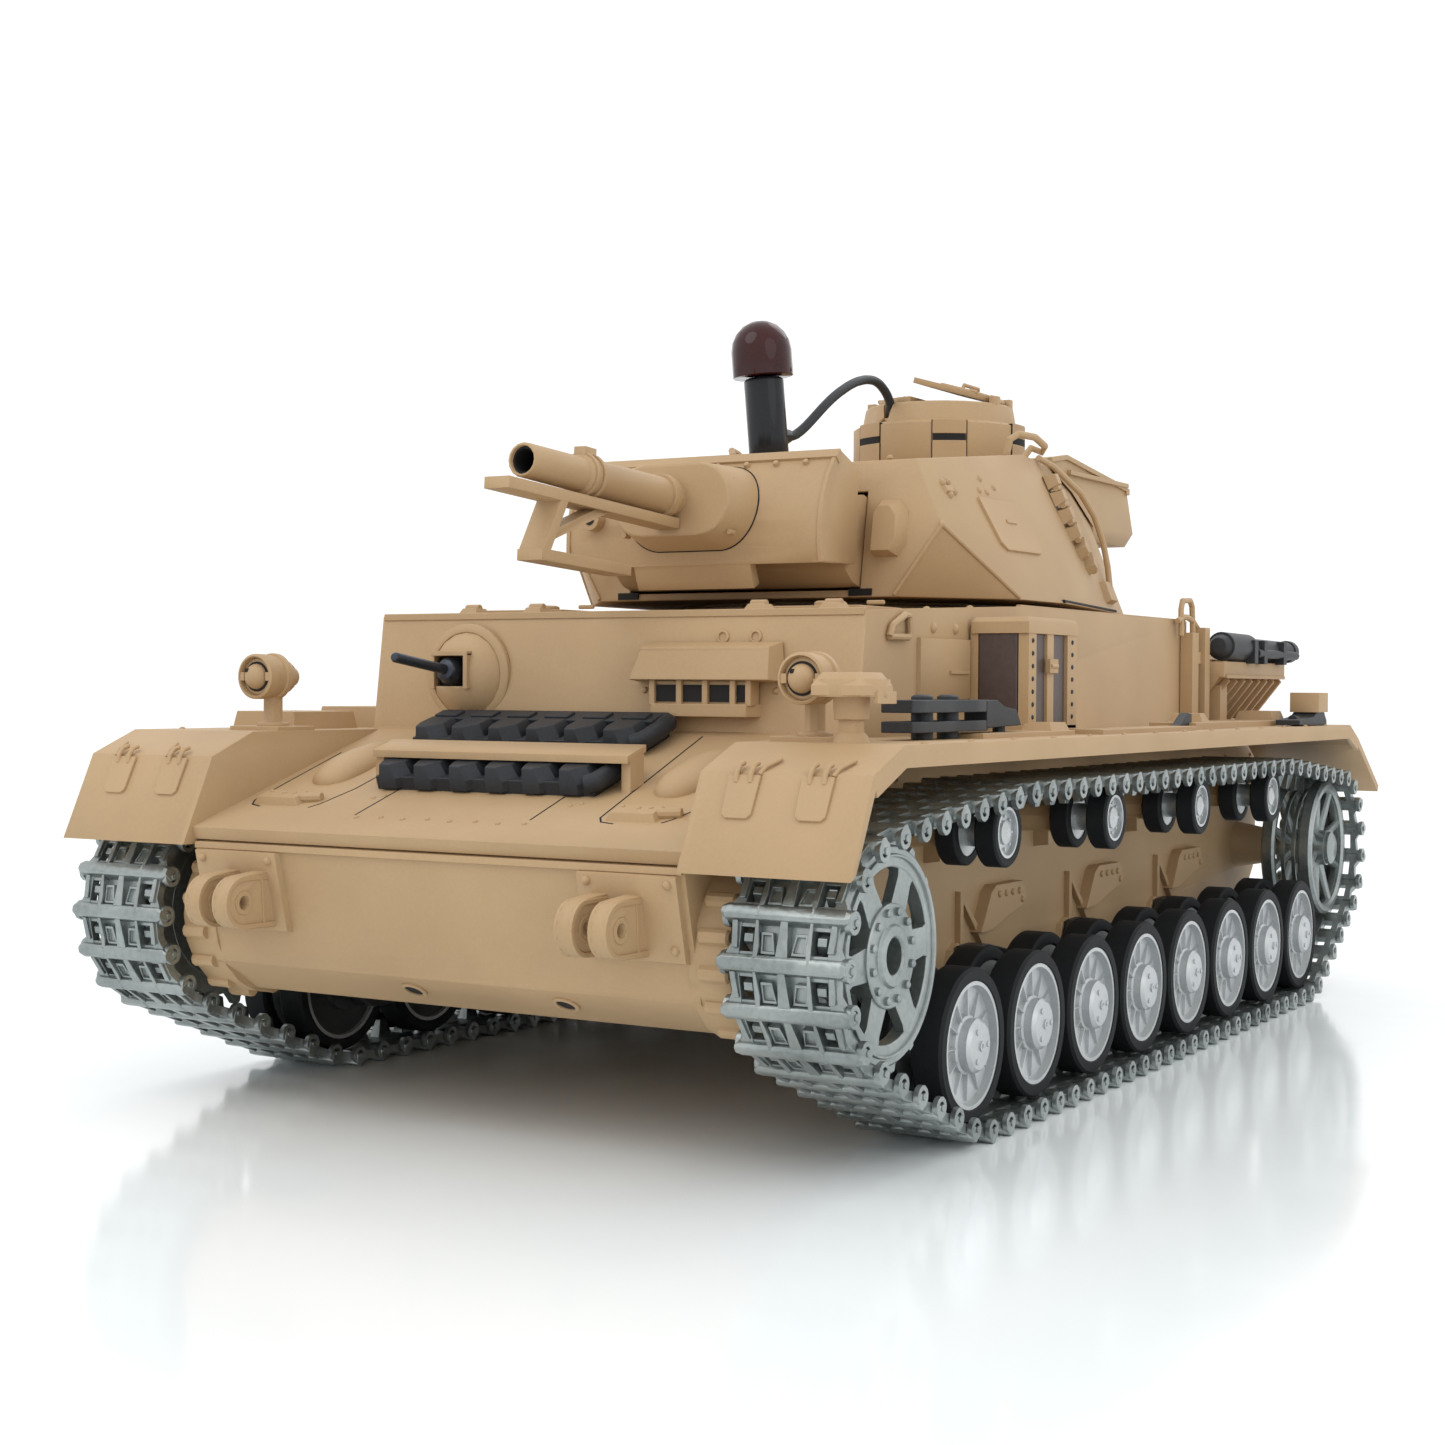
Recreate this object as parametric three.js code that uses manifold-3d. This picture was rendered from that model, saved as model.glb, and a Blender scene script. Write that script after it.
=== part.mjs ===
// Radio-controlled model tank, about 1/16 scale, as an assembly of separate pieces.
// Millimetres. +X is the tank's left side, the tank faces -Y, +Z is up.
// The origin is on the ground, under the middle of the eight road wheels.
import * as THREE from 'three';
import { mergeVertices } from 'three/addons/utils/BufferGeometryUtils.js';
import { ConvexGeometry } from 'three/addons/geometries/ConvexGeometry.js';
import Module from 'manifold-3d';

const wasm = await Module();
wasm.setup();

// ---------- driving dimensions ----------
const GAP = 0.3;                    // running gap between neighbours
const HALF_LENGTH = 180;            // tow ears to the muffler, from the middle
const FENDER_OUT = 90.2;            // half width over the fenders
const FENDER_IN = 57.7;             // inner edge of the mudguards
const FENDER_TOP = 75.5;
const FENDER_PLATE = 2;
const HULL_HALF = 56.6;             // half width of the lower hull tub
const WALL = 2.5;

const TRACK_MID = 76.5;             // middle of a track, from the centre line
const TRACK_HALF = 12.5;
const TRACK_PLATE = 3.2;            // link thickness
const GUIDE_HEIGHT = 3.9;           // guide horns, as one ridge
const GUIDE_HALF = 1.2;
const TOOTH_LANE = [4.8, 7.8];      // grooves that the sprocket teeth run in
const TOOTH_GROOVE = 2;

const WHEEL_COUNT = 8;
const WHEEL_PITCH = 31.45;
const WHEEL_RADIUS = 14.7;
const WHEEL_HALF = 8.4;
const WHEEL_GAP = 2;                // half of the slot between the twin discs
const AXLE_HEIGHT = TRACK_PLATE + GAP + WHEEL_RADIUS;
const AXLE_RADIUS = 2;

const ROLLER_COUNT = 4;
const ROLLER_FIRST = -90;
const ROLLER_PITCH = 59.5;
const ROLLER_HEIGHT = 57;
const ROLLER_RADIUS = 6.9;
const ROLLER_HALF = 6.5;
const ROLLER_PIN = 1.3;

const SPROCKET = { y: -147.7, z: 39, ring: 19.4, teeth: 16, tip: 21.3 };
const IDLER = { y: 141.5, z: 40, rim: 18.9, half: 7.1 };

const BOGIE = { pivotAhead: 11, pivotHeight: 26, inner: 58.3, outer: 63.3, pin: 2 };

const SUPER_HALF = 60;              // superstructure half width
const SUPER_FRONT = -110;
const SUPER_REAR = 84.5;
const ROOF_FRONT = 100.3;
const ROOF_TOP = 103.7;
const ROOF_BEND = -30;
const GLACIS_EDGE = { y: -169, z: 57 };
const GLACIS_TOP = 76.2;
const TOW_EAR = { y: -174.9, z: 43.5, radius: HALF_LENGTH - 174.9 };

const TURRET_AXIS = 8;              // y of the traverse axis
const TURRET_BASE = 105.4;
const TURRET_ROOF = 143.1;
const RING_RADIUS = 41;

const TRUNNION = { y: -50.5, z: 118 };
const GUN_REST = THREE.MathUtils.degToRad(3.6);
const GUN_AXIS = 6;                 // bore height above the trunnions
const MUZZLE = -87.8;
const MANTLET = { radius: 24.3, plate: 2.5, half: 32.3 };

const CUPOLA = { y: 55, lower: 23.3, upper: 20, top: 161, hatch: 13.5 };
const LID = { radius: 16.5, plate: 1.5, split: -0.8, hinge: 17.4 };
const LID_REST = THREE.MathUtils.degToRad(16);

const BEACON = { x: -11, y: -19, base: 137.6, length: 23.4, tube: 4.9, dome: 7.4 };
const BEACON_LEAN = { x: -0.069, y: -0.041 };
const CABLE_RADIUS = 1.2;

// ---------- materials ----------
const paint = (color, roughness, metalness = 0) => new THREE.MeshStandardMaterial({ color, roughness, metalness });
const sand = paint(0xbfa078, 0.6);
const castMetal = paint(0x868d8c, 0.45, 0.8);
const wheelMetal = paint(0xb9bcbd, 0.4, 0.7);
const darkSteel = paint(0x3a3d40, 0.5, 0.3);
const blackGloss = paint(0x15171a, 0.15);
const redDome = paint(0x3a0d10, 0.1);
const cableBlack = paint(0x24272b, 0.55);
const boardGreen = paint(0x1f5a34, 0.5);
const packBlue = paint(0x2c4a78, 0.5);

const tank = new THREE.Group();

// ---------- shape helpers ----------
function toSolid(geometry) {
  const bare = geometry.index ? geometry.toNonIndexed() : geometry.clone();
  for (const name of Object.keys(bare.attributes)) {
    if (name !== 'position') bare.deleteAttribute(name);
  }
  const merged = mergeVertices(bare, 1e-4);
  const vertProperties = new Float32Array(merged.attributes.position.array);
  const triVerts = new Uint32Array(merged.index.array);
  return new wasm.Manifold(new wasm.Mesh({ numProp: 3, vertProperties, triVerts }));
}

function toGeometry(solid) {
  const mesh = solid.getMesh();
  const positions = new Float32Array(mesh.numVert * 3);
  for (let v = 0; v < mesh.numVert; v += 1) {
    for (let k = 0; k < 3; k += 1) positions[3 * v + k] = mesh.vertProperties[v * mesh.numProp + k];
  }
  const geometry = new THREE.BufferGeometry();
  geometry.setAttribute('position', new THREE.BufferAttribute(positions, 3));
  geometry.setIndex(new THREE.BufferAttribute(new Uint32Array(mesh.triVerts), 1));
  return geometry;
}

function join(...pieces) {
  return toGeometry(pieces.map(toSolid).reduce((sum, piece) => sum.add(piece)));
}

function cut(base, ...tools) {
  return toGeometry(tools.map(toSolid).reduce((left, tool) => left.subtract(tool), toSolid(base)));
}

function box(x0, x1, y0, y1, z0, z1) {
  const geometry = new THREE.BoxGeometry(x1 - x0, y1 - y0, z1 - z0);
  return geometry.translate((x0 + x1) / 2, (y0 + y1) / 2, (z0 + z1) / 2);
}

function shapeOf(points) {
  return new THREE.Shape(points.map(([a, b]) => new THREE.Vector2(a, b)));
}

function plate(shape, depth, curveSegments = 8) {
  return new THREE.ExtrudeGeometry(shape, { depth, bevelEnabled: false, curveSegments });
}

// A side profile of [y, z] points, extruded across from x0 to x1.
function acrossX(points, x0, x1) {
  const toWorld = new THREE.Matrix4().set(0, 0, 1, x0, 1, 0, 0, 0, 0, 1, 0, 0, 0, 0, 0, 1);
  return plate(shapeOf(points), x1 - x0).applyMatrix4(toWorld);
}

// A front profile of [x, z] points, extruded from y0 back to y1.
function alongY(points, y0, y1) {
  return plate(shapeOf(points), y1 - y0).rotateX(Math.PI / 2).translate(0, y1, 0);
}

// A turned piece about the X axis, from [radius, x] points.
function turnedX(profile, segments, x = 0, y = 0, z = 0) {
  const points = profile.map(([r, h]) => new THREE.Vector2(r, h));
  return new THREE.LatheGeometry(points, segments).rotateZ(-Math.PI / 2).translate(x, y, z);
}

// A turned piece about the Y axis, from [radius, y] points.
function turnedY(profile, segments) {
  return new THREE.LatheGeometry(profile.map(([r, h]) => new THREE.Vector2(r, h)), segments);
}

// A turned piece about the Z axis, from [radius, z] points.
function turnedZ(profile, segments) {
  return turnedY(profile, segments).rotateX(Math.PI / 2);
}

function rod(radius, length, segments = 12) {
  return new THREE.CylinderGeometry(radius, radius, length, segments);
}

// A rod along X between x0 and x1.
function rodX(radius, x0, x1, y, z, segments = 12) {
  return rod(radius, x1 - x0, segments).rotateZ(Math.PI / 2).translate((x0 + x1) / 2, y, z);
}

// A rod along Y between y0 and y1.
function rodY(radius, y0, y1, x, z, segments = 12) {
  return rod(radius, y1 - y0, segments).translate(x, (y0 + y1) / 2, z);
}

// A rod along Z between z0 and z1.
function rodZ(radius, z0, z1, x, y, segments = 12) {
  return rod(radius, z1 - z0, segments).rotateX(Math.PI / 2).translate(x, y, (z0 + z1) / 2);
}

// A flat bar in the side plane between two [y, z] points.
function sideBar([y0, z0], [y1, z1], half, x0, x1) {
  const along = new THREE.Vector2(y1 - y0, z1 - z0).normalize().multiplyScalar(half);
  const corners = [[y0 - along.y, z0 + along.x], [y0 + along.y, z0 - along.x],
    [y1 + along.y, z1 - along.x], [y1 - along.y, z1 + along.x]];
  return acrossX(corners, x0, x1);
}

// A closed skin through equal rings of points, in order, capped at both ends or closed on itself.
function skin(rings, closed) {
  const count = rings[0].length;
  const triangles = [];
  const quad = (a, b, c, d) => triangles.push(a, b, c, a, c, d);
  const last = closed ? rings.length : rings.length - 1;
  for (let r = 0; r < last; r += 1) {
    const here = rings[r];
    const next = rings[(r + 1) % rings.length];
    for (let k = 0; k < count; k += 1) {
      const n = (k + 1) % count;
      quad(here[k], here[n], next[n], next[k]);
    }
  }
  if (!closed) {
    const end = rings[rings.length - 1];
    for (let k = 1; k < count - 1; k += 1) {
      triangles.push(rings[0][0], rings[0][k + 1], rings[0][k]);
      triangles.push(end[0], end[k], end[k + 1]);
    }
  }
  const geometry = new THREE.BufferGeometry().setFromPoints(triangles);
  return toSolid(geometry).volume() < 0 ? flipped(triangles) : geometry;
}

function flipped(triangles) {
  const turned = [];
  for (let t = 0; t < triangles.length; t += 3) turned.push(triangles[t], triangles[t + 2], triangles[t + 1]);
  return new THREE.BufferGeometry().setFromPoints(turned);
}

function mirrored(geometry) {
  const points = [];
  const flat = geometry.index ? geometry.toNonIndexed() : geometry;
  const position = flat.attributes.position;
  for (let v = 0; v < position.count; v += 1) {
    points.push(new THREE.Vector3(-position.getX(v), position.getY(v), position.getZ(v)));
  }
  return flipped(points);
}

// A piece drawn on the tank's left, or its mirror image on the right.
function onSide(side, geometry) {
  return side > 0 ? geometry : mirrored(geometry);
}

function addNode(name, geometry, material, parent = tank, place = [0, 0, 0]) {
  const mesh = new THREE.Mesh(geometry, material);
  mesh.name = name;
  mesh.position.set(...place);
  parent.add(mesh);
  return mesh;
}

const sides = [{ side: 1, word: 'left' }, { side: -1, word: 'right' }];
const wheelY = (k) => (k - (WHEEL_COUNT - 1) / 2) * WHEEL_PITCH;
const rollerY = (k) => ROLLER_FIRST + k * ROLLER_PITCH;

// ---------- lower hull ----------
function lowerHull() {
  const outline = [[-168.4, 54], [-162.4, 30], [-152.5, 23.5], [149, 23.5], [160, 34], [160, 72.9],
    [-108.5, 72.9]];
  const hollow = [[-166, 60], [-164.6, 51.5], [-159.8, 32.4], [-151.4, 26], [148, 26], [157.5, 35], [157.5, 80],
    [-108, 80]];
  const additions = [];
  for (const side of [1, -1]) {
    additions.push(onSide(side, rodX(17, 55, 63.4, SPROCKET.y, SPROCKET.z, 20)));
    for (let k = 0; k < ROLLER_COUNT; k += 1) {
      const bracket = [[0, 55], [4, 55], [3.2, 68.6], [ROLLER_PIN, 68.6], [ROLLER_PIN, 83], [0, 83]];
      additions.push(onSide(side, turnedX(bracket, 8, 0, rollerY(k), ROLLER_HEIGHT)));
    }
    for (let k = 0; k < WHEEL_COUNT; k += 2) {
      const pivot = [[0, 55], [4.6, 55], [4.6, 57.9], [BOGIE.pin, 57.9], [BOGIE.pin, 64.6], [0, 64.6]];
      additions.push(onSide(side, turnedX(pivot, 8, 0, wheelY(k) - BOGIE.pivotAhead, BOGIE.pivotHeight)));
    }
    const idlerArm = [[0, 55], [7, 55], [5, 66], [2.6, 66], [2.6, 84], [0, 84]];
    additions.push(onSide(side, turnedX(idlerArm, 10, 0, IDLER.y, IDLER.z)));
    additions.push(onSide(side, towBracket()));
    additions.push(onSide(side, rearTowEye()));
  }
  const shaftHoles = [1, -1].map((side) => onSide(side, rodX(3.1, 50, 66, SPROCKET.y, SPROCKET.z)));
  const tub = cut(acrossX(outline, -HULL_HALF, HULL_HALF), acrossX(hollow, -HULL_HALF + WALL, HULL_HALF - WALL));
  return cut(join(tub, ...additions), ...shaftHoles);
}

// A base plate on the nose with two upright round-ended ears and a pin hole.
function towBracket() {
  const base = acrossX([[-169.6, 52.6], [-167.9, 53], [-163.9, 37], [-165.9, 37.4]], 35, 55.6);
  const ear = [[-166.5, 49.2]];
  for (let k = 0; k <= 6; k += 1) {
    const angle = Math.PI / 2 + (k / 6) * Math.PI;
    ear.push([TOW_EAR.y + TOW_EAR.radius * Math.cos(angle), TOW_EAR.z + TOW_EAR.radius * Math.sin(angle)]);
  }
  ear.push([-163.8, 38]);
  const ears = [37.8, 44.8].map((x) => acrossX(ear, x, x + 3.2));
  const pinHole = rodX(1.3, 30, 58, TOW_EAR.y, TOW_EAR.z, 10);
  return cut(join(base, ...ears), pinHole);
}

function rearTowEye() {
  const eye = acrossX([[159, 44], [170, 42.5], [172.5, 40], [170, 37], [159, 36]], 26, 30);
  return cut(eye, rodX(1.5, 24, 32, 168.5, 40, 10));
}

// ---------- upper hull ----------
function mudguardSide() {
  return [[-171.5, 53.6], [-163.5, 70.7], [-151.8, FENDER_TOP], [138.8, FENDER_TOP], [148, 71.5], [172, 57]];
}

function upperHull() {
  const pieces = [superstructure(), glacis()];
  for (const side of [1, -1]) {
    pieces.push(onSide(side, fender()));
  }
  pieces.push(bowMount(), ...driverVisor(), ...linkRack(), ...fenderFittings());
  const body = join(...pieces);
  const ringHole = rodZ(RING_RADIUS + 1, 90, 110, 0, TURRET_AXIS, 28);
  const gunSlot = box(-43.3, -32.6, -120, -100, 85, 91.6);
  return cut(body, ringHole, gunSlot);
}

function superstructure() {
  const outer = [[SUPER_FRONT, 73.6], [SUPER_FRONT, FENDER_TOP], [-106.8, ROOF_FRONT], [ROOF_BEND, ROOF_TOP],
    [SUPER_REAR, ROOF_TOP], [SUPER_REAR, 73.6]];
  const inner = [[SUPER_FRONT + WALL, 70], [SUPER_FRONT + WALL, FENDER_TOP], [-104.3, ROOF_FRONT - WALL],
    [ROOF_BEND, ROOF_TOP - WALL], [SUPER_REAR - WALL, ROOF_TOP - WALL], [SUPER_REAR - WALL, 70]];
  const shell = acrossX(outer, -SUPER_HALF, SUPER_HALF);
  return cut(shell, acrossX(inner, -SUPER_HALF + WALL, SUPER_HALF - WALL));
}

function glacis() {
  const { y, z } = GLACIS_EDGE;
  return acrossX([[y, z], [y + 0.9, z - 2.4], [-107.6, 73.7], [-107.6, GLACIS_TOP], [SUPER_FRONT, GLACIS_TOP]],
    -FENDER_IN, FENDER_IN);
}

// A slab lying on the glacis from y0 to y1, between two heights above it.
function onGlacis(y0, y1, low, high, x0, x1) {
  const slope = (GLACIS_TOP - GLACIS_EDGE.z) / (SUPER_FRONT - GLACIS_EDGE.y);
  const point = (y, height) => [y, GLACIS_EDGE.z + (y - GLACIS_EDGE.y) * slope + height];
  return acrossX([point(y0, low), point(y0, high), point(y1, high), point(y1, low)].reverse(), x0, x1);
}

// Two rows of spare links under a strip on two feet.
function linkRack() {
  const rows = [onGlacis(-145.5, -134.5, -1, 2.4, -28.6, 23), onGlacis(-123.5, -113.5, -1, 2.4, -37, 19)];
  const strip = onGlacis(-144.6, -138.2, 5.8, 7.2, -31.5, 29.5);
  const feet = [-31.5, 27.5].map((x) => onGlacis(-143.6, -139, -1, 6.4, x, x + 2));
  return [...rows, strip, ...feet];
}

// One side's fender: the bent plate, its outer lip and the wall beside the glacis.
function fender() {
  const top = mudguardSide();
  const under = top.map(([y, z], k) => {
    if (k === 0) return [y + 1.8, z + 0.8];
    if (k === 1) return [y + 1.6, z - 1.2];
    return [y - (k > 3 ? 1 : 0), z - FENDER_PLATE + (k > 3 ? 0.3 : 0)];
  });
  const bent = acrossX([...top, ...under.slice().reverse()], FENDER_IN, FENDER_OUT);
  const shelf = box(SUPER_HALF - 8, FENDER_IN + 1, SUPER_FRONT + 1, 150, FENDER_TOP - FENDER_PLATE, FENDER_TOP);
  const lipTop = top.slice(1, 5);
  const lipUnder = [[148, 68], [138.2, 71.6], [-151, 71.6], [-162, 67]];
  const lip = acrossX([...lipTop, ...lipUnder], FENDER_OUT - 1.4, FENDER_OUT);
  const cheek = acrossX([top[0], top[1], top[2], [-108, FENDER_TOP], [-108, 72.8], [-168, 53.6]],
    HULL_HALF + GAP, FENDER_IN + 0.8);
  return join(bent, shelf, lip, cheek);
}

// Round boss on the front plate that the bow machine gun pokes out of.
function bowMount() {
  const dome = turnedY([[0, 4.6], [3.2, 4.3], [6.3, 3.1], [8.6, 1.4], [9.6, 0], [9.6, -3.2], [0, -3.2]].reverse(),
    18);
  return dome.rotateX(Math.PI).translate(-34.9, -108.7, 87.6);
}

// The driver's visor: a thick upper flap over a plain lower one, on the front plate.
function driverVisor() {
  return [box(11.2, 41, -112.6, -107, 86.7, 92.8), box(14.1, 37.2, -112, -107.5, 79.8, 86.3)];
}

// What is bolted down on the left fender and beside the driver.
function fenderFittings() {
  const jackBlock = box(61.5, 72.5, -58, -32, FENDER_TOP - 1, 99.5);
  const sideVisor = box(59, 60.9, -84, -59.5, 83, 95.5);
  const rearLamp = [box(80, 88, 113.7, 123.1, 79.2, 84.6), box(82.5, 85.5, 116, 121, FENDER_TOP - 1, 79.6)];
  const lampPost = rodZ(2.4, FENDER_TOP - 1, 84.5, 76, -144, 8);
  const lampCap = rodZ(6.8, 83.6, 86.7, 76, -144, 12);
  return [jackBlock, sideVisor, ...rearLamp, lampPost, lampCap];
}

// ---------- engine deck ----------
function engineDeck() {
  const y0 = SUPER_REAR + GAP;
  const outer = [[y0, 75.9], [y0, 99], [148, 95.5], [159.5, 84], [159.5, 75.9]];
  const inner = [[y0 + WALL, 70], [y0 + WALL, 96.5], [147, 93], [157, 83.2], [157, 70]];
  const shell = cut(acrossX(outer, -52, 52), acrossX(inner, -49.5, 49.5));
  const louvres = [[51, 78], [58, 78], [66.5, 88.6], [68, 88.6], [68, 93], [51, 93]];
  const boxes = [1, -1].map((side) => onSide(side, alongY(louvres, 93, 150)));
  return join(shell, ...boxes);
}

// ---------- running gear ----------
function roadWheel() {
  const bore = AXLE_RADIUS + GAP;
  const profile = [[bore, -WHEEL_HALF], [WHEEL_RADIUS, -WHEEL_HALF], [WHEEL_RADIUS, -WHEEL_GAP],
    [5, -WHEEL_GAP], [5, WHEEL_GAP], [WHEEL_RADIUS, WHEEL_GAP], [WHEEL_RADIUS, WHEEL_HALF],
    [bore, WHEEL_HALF], [bore, -WHEEL_HALF]];
  return turnedX(profile, 12);
}

function returnRoller() {
  const bore = ROLLER_PIN + GAP;
  const profile = [[bore, -ROLLER_HALF], [ROLLER_RADIUS, -ROLLER_HALF], [ROLLER_RADIUS, -WHEEL_GAP],
    [2.9, -WHEEL_GAP], [2.9, WHEEL_GAP], [ROLLER_RADIUS, WHEEL_GAP], [ROLLER_RADIUS, ROLLER_HALF],
    [bore, ROLLER_HALF], [bore, -ROLLER_HALF]];
  return turnedX(profile, 10);
}

function idlerWheel() {
  const bore = 2.9;
  const profile = [[bore, -IDLER.half], [IDLER.rim, -IDLER.half], [IDLER.rim, -WHEEL_GAP], [14, -WHEEL_GAP],
    [14, WHEEL_GAP], [IDLER.rim, WHEEL_GAP], [IDLER.rim, IDLER.half], [15.8, IDLER.half], [15.8, 4.4],
    [5, 4.4], [5, IDLER.half], [bore, IDLER.half], [bore, -IDLER.half]];
  return turnedX(profile, 20);
}

// A toothed ring, with or without its six windows, in the plane across X.
function toothedRing(x0, x1, windows) {
  const { teeth, ring, tip } = SPROCKET;
  const outline = [];
  for (let t = 0; t < teeth; t += 1) {
    for (const [share, radius] of [[-0.28, ring], [0, tip], [0.28, ring]]) {
      const angle = ((t + share) / teeth) * 2 * Math.PI;
      outline.push([radius * Math.cos(angle), radius * Math.sin(angle)]);
    }
  }
  const shape = shapeOf(outline);
  for (let w = 0; w < windows; w += 1) {
    const window = new THREE.Path();
    const from = (w + 0.17) * Math.PI / 3;
    const to = (w + 0.83) * Math.PI / 3;
    window.absarc(0, 0, 15.6, from, to, false);
    window.absarc(0, 0, 8.6, to - 0.12, from + 0.12, true);
    window.closePath();
    shape.holes.push(window);
  }
  const toWorld = new THREE.Matrix4().set(0, 0, 1, x0, 1, 0, 0, 0, 0, 1, 0, 0, 0, 0, 0, 1);
  return plate(shape, x1 - x0, 2).applyMatrix4(toWorld);
}

function driveSprocket() {
  const middle = TRACK_MID;
  const hub = turnedX([[0, 47 - middle], [2.8, 47 - middle], [2.8, 64 - middle], [7.4, 65.4 - middle],
    [7.4, 7.5], [0, 7.5]], 14);
  const lane = TOOTH_LANE;
  const rings = join(hub, toothedRing(lane[0] + GAP, lane[1] - GAP, 6),
    toothedRing(-lane[1] + GAP, -lane[0] - GAP, 0));
  return cut(rings, rodX(3, 5, 8, 0, 0, 12));
}

// A pair of wheel axles on one trailing beam, hinged on the hull ahead of the front wheel.
function bogieBeam() {
  const { pivotAhead, pivotHeight, inner, outer, pin } = BOGIE;
  const front = -pivotAhead;
  const up = pivotHeight - AXLE_HEIGHT;
  const outline = [[front - 4.4, up - 1], [front - 2, up + 4.2], [front + 4, up + 4.4], [WHEEL_PITCH + 3, 4],
    [WHEEL_PITCH + 4.4, 0], [WHEEL_PITCH + 2.4, -3.6], [-2, -4]];
  const beam = acrossX(outline, inner, outer);
  const axles = [0, WHEEL_PITCH].map((y) => rodX(AXLE_RADIUS, outer - 1, TRACK_MID + WHEEL_HALF + GAP, y, 0, 8));
  return cut(join(beam, ...axles), rodX(pin + GAP, inner - 1, outer + 1, front, up, 8));
}

// The points of one track loop's inner face and their outward normals, all the way round.
function trackLoop() {
  const circles = [
    { y: SPROCKET.y, z: SPROCKET.z, r: SPROCKET.ring + GAP, steps: 11 },
    { y: rollerY(0), z: ROLLER_HEIGHT, r: ROLLER_RADIUS + GAP, steps: 2 },
    { y: rollerY(ROLLER_COUNT - 1), z: ROLLER_HEIGHT, r: ROLLER_RADIUS + GAP, steps: 2 },
    { y: IDLER.y, z: IDLER.z, r: IDLER.rim + GAP, steps: 11 },
    { y: wheelY(WHEEL_COUNT - 1), z: AXLE_HEIGHT, r: WHEEL_RADIUS + GAP, steps: 4 },
    { y: wheelY(0), z: AXLE_HEIGHT, r: WHEEL_RADIUS + GAP, steps: 4 },
  ];
  // Going over the top from front to rear, the outward normal of each straight run between circles.
  const normals = circles.map((here, k) => {
    const next = circles[(k + 1) % circles.length];
    const heading = Math.atan2(next.z - here.z, next.y - here.y);
    const apart = Math.hypot(next.z - here.z, next.y - here.y);
    return heading + Math.acos((here.r - next.r) / apart);
  });
  const points = [];
  circles.forEach((circle, k) => {
    const from = normals[(k + circles.length - 1) % circles.length];
    let to = normals[k];
    while (to > from) to -= 2 * Math.PI;
    while (from - to > 2 * Math.PI) to += 2 * Math.PI;
    for (let s = 0; s <= circle.steps; s += 1) {
      const angle = from + ((to - from) * s) / circle.steps;
      const normal = [Math.cos(angle), Math.sin(angle)];
      points.push({ y: circle.y + circle.r * normal[0], z: circle.z + circle.r * normal[1], normal });
    }
  });
  return points;
}

function trackBand() {
  const [near, far] = TOOTH_LANE;
  const half = [[GUIDE_HALF, 0], [near, 0], [near, TOOTH_GROOVE], [far, TOOTH_GROOVE], [far, 0], [TRACK_HALF, 0],
    [TRACK_HALF, TRACK_PLATE]];
  const right = half.map(([w, h]) => [-w, h]).reverse();
  const section = [[-0.9, -GUIDE_HEIGHT], [0.9, -GUIDE_HEIGHT], ...half, ...right];
  const rings = trackLoop().map(({ y, z, normal }) => section.map(([w, h]) => (
    new THREE.Vector3(w, y + normal[0] * h, z + normal[1] * h)
  )));
  return skin(rings, true);
}

// ---------- turret ----------
// Corner points of the turret's outside, grown outwards by a margin.
function turretCorners(margin) {
  const corners = [[41.7, -47, 136.2], [49.5, -49.5, 121.1], [38.9, -52.1, TURRET_BASE], [58.4, -26.1, TURRET_BASE],
    [59.1, 0, TURRET_BASE], [45, 77, TURRET_BASE], [40.5, 16, TURRET_ROOF], [33, 68, TURRET_ROOF]];
  const points = [];
  for (const [x, y, z] of corners) {
    const outY = y + Math.sign(y - 10) * margin;
    const outZ = z > 120 ? z + margin : z;
    points.push(new THREE.Vector3(x + margin, outY, outZ));
    points.push(new THREE.Vector3(-x - margin, outY, outZ));
  }
  return points;
}

function turretShell() {
  const outer = new ConvexGeometry(turretCorners(0));
  const innerPoints = turretCorners(-WALL);
  const lowered = innerPoints.filter((p) => p.z < 110).map((p) => new THREE.Vector3(p.x, p.y, TURRET_BASE - 5));
  const inner = new ConvexGeometry([...innerPoints, ...lowered]);
  const window = box(-30.6, 30.6, -60, -40, 107, 129.2);
  const socket = leaned(rodZ(BEACON.tube + 0.4, -4, 12, 0, 0, 14), BEACON.base);
  const hatchHole = rodZ(16, 130, 150, 0, CUPOLA.y, 18);
  const ring = cut(rodZ(RING_RADIUS, 97, TURRET_BASE + 2.5, 0, TURRET_AXIS, 28),
    rodZ(RING_RADIUS - 3, 90, 112, 0, TURRET_AXIS, 28));
  const floor = cut(new ConvexGeometry(turretFloor()), rodZ(RING_RADIUS - 3, 100, 112, 0, TURRET_AXIS, 28));
  return join(cut(outer, inner, window, socket, hatchHole), floor, ring);
}

// The turret's bottom plate, just inside its walls.
function turretFloor() {
  const points = [];
  for (const z of [TURRET_BASE, TURRET_BASE + 1]) {
    for (const side of [1, -1]) {
      for (const [x, y] of [[38.4, -51.6], [57.4, -26.1], [58, 0], [44, 76]]) {
        points.push(new THREE.Vector3(side * x, y, z));
      }
    }
  }
  return points;
}

function stowageBin() {
  const profile = [[66, 125], [96.7, 125], [103, 129], [97.5, 141], [51, 146.2], [40, 144.6]];
  const body = acrossX(profile, -38, 38);
  const turret = new ConvexGeometry(turretCorners(0.4));
  const roofGap = box(-30, 30, 30, 79, 120, 150);
  return cut(body, turret, roofGap);
}

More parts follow.
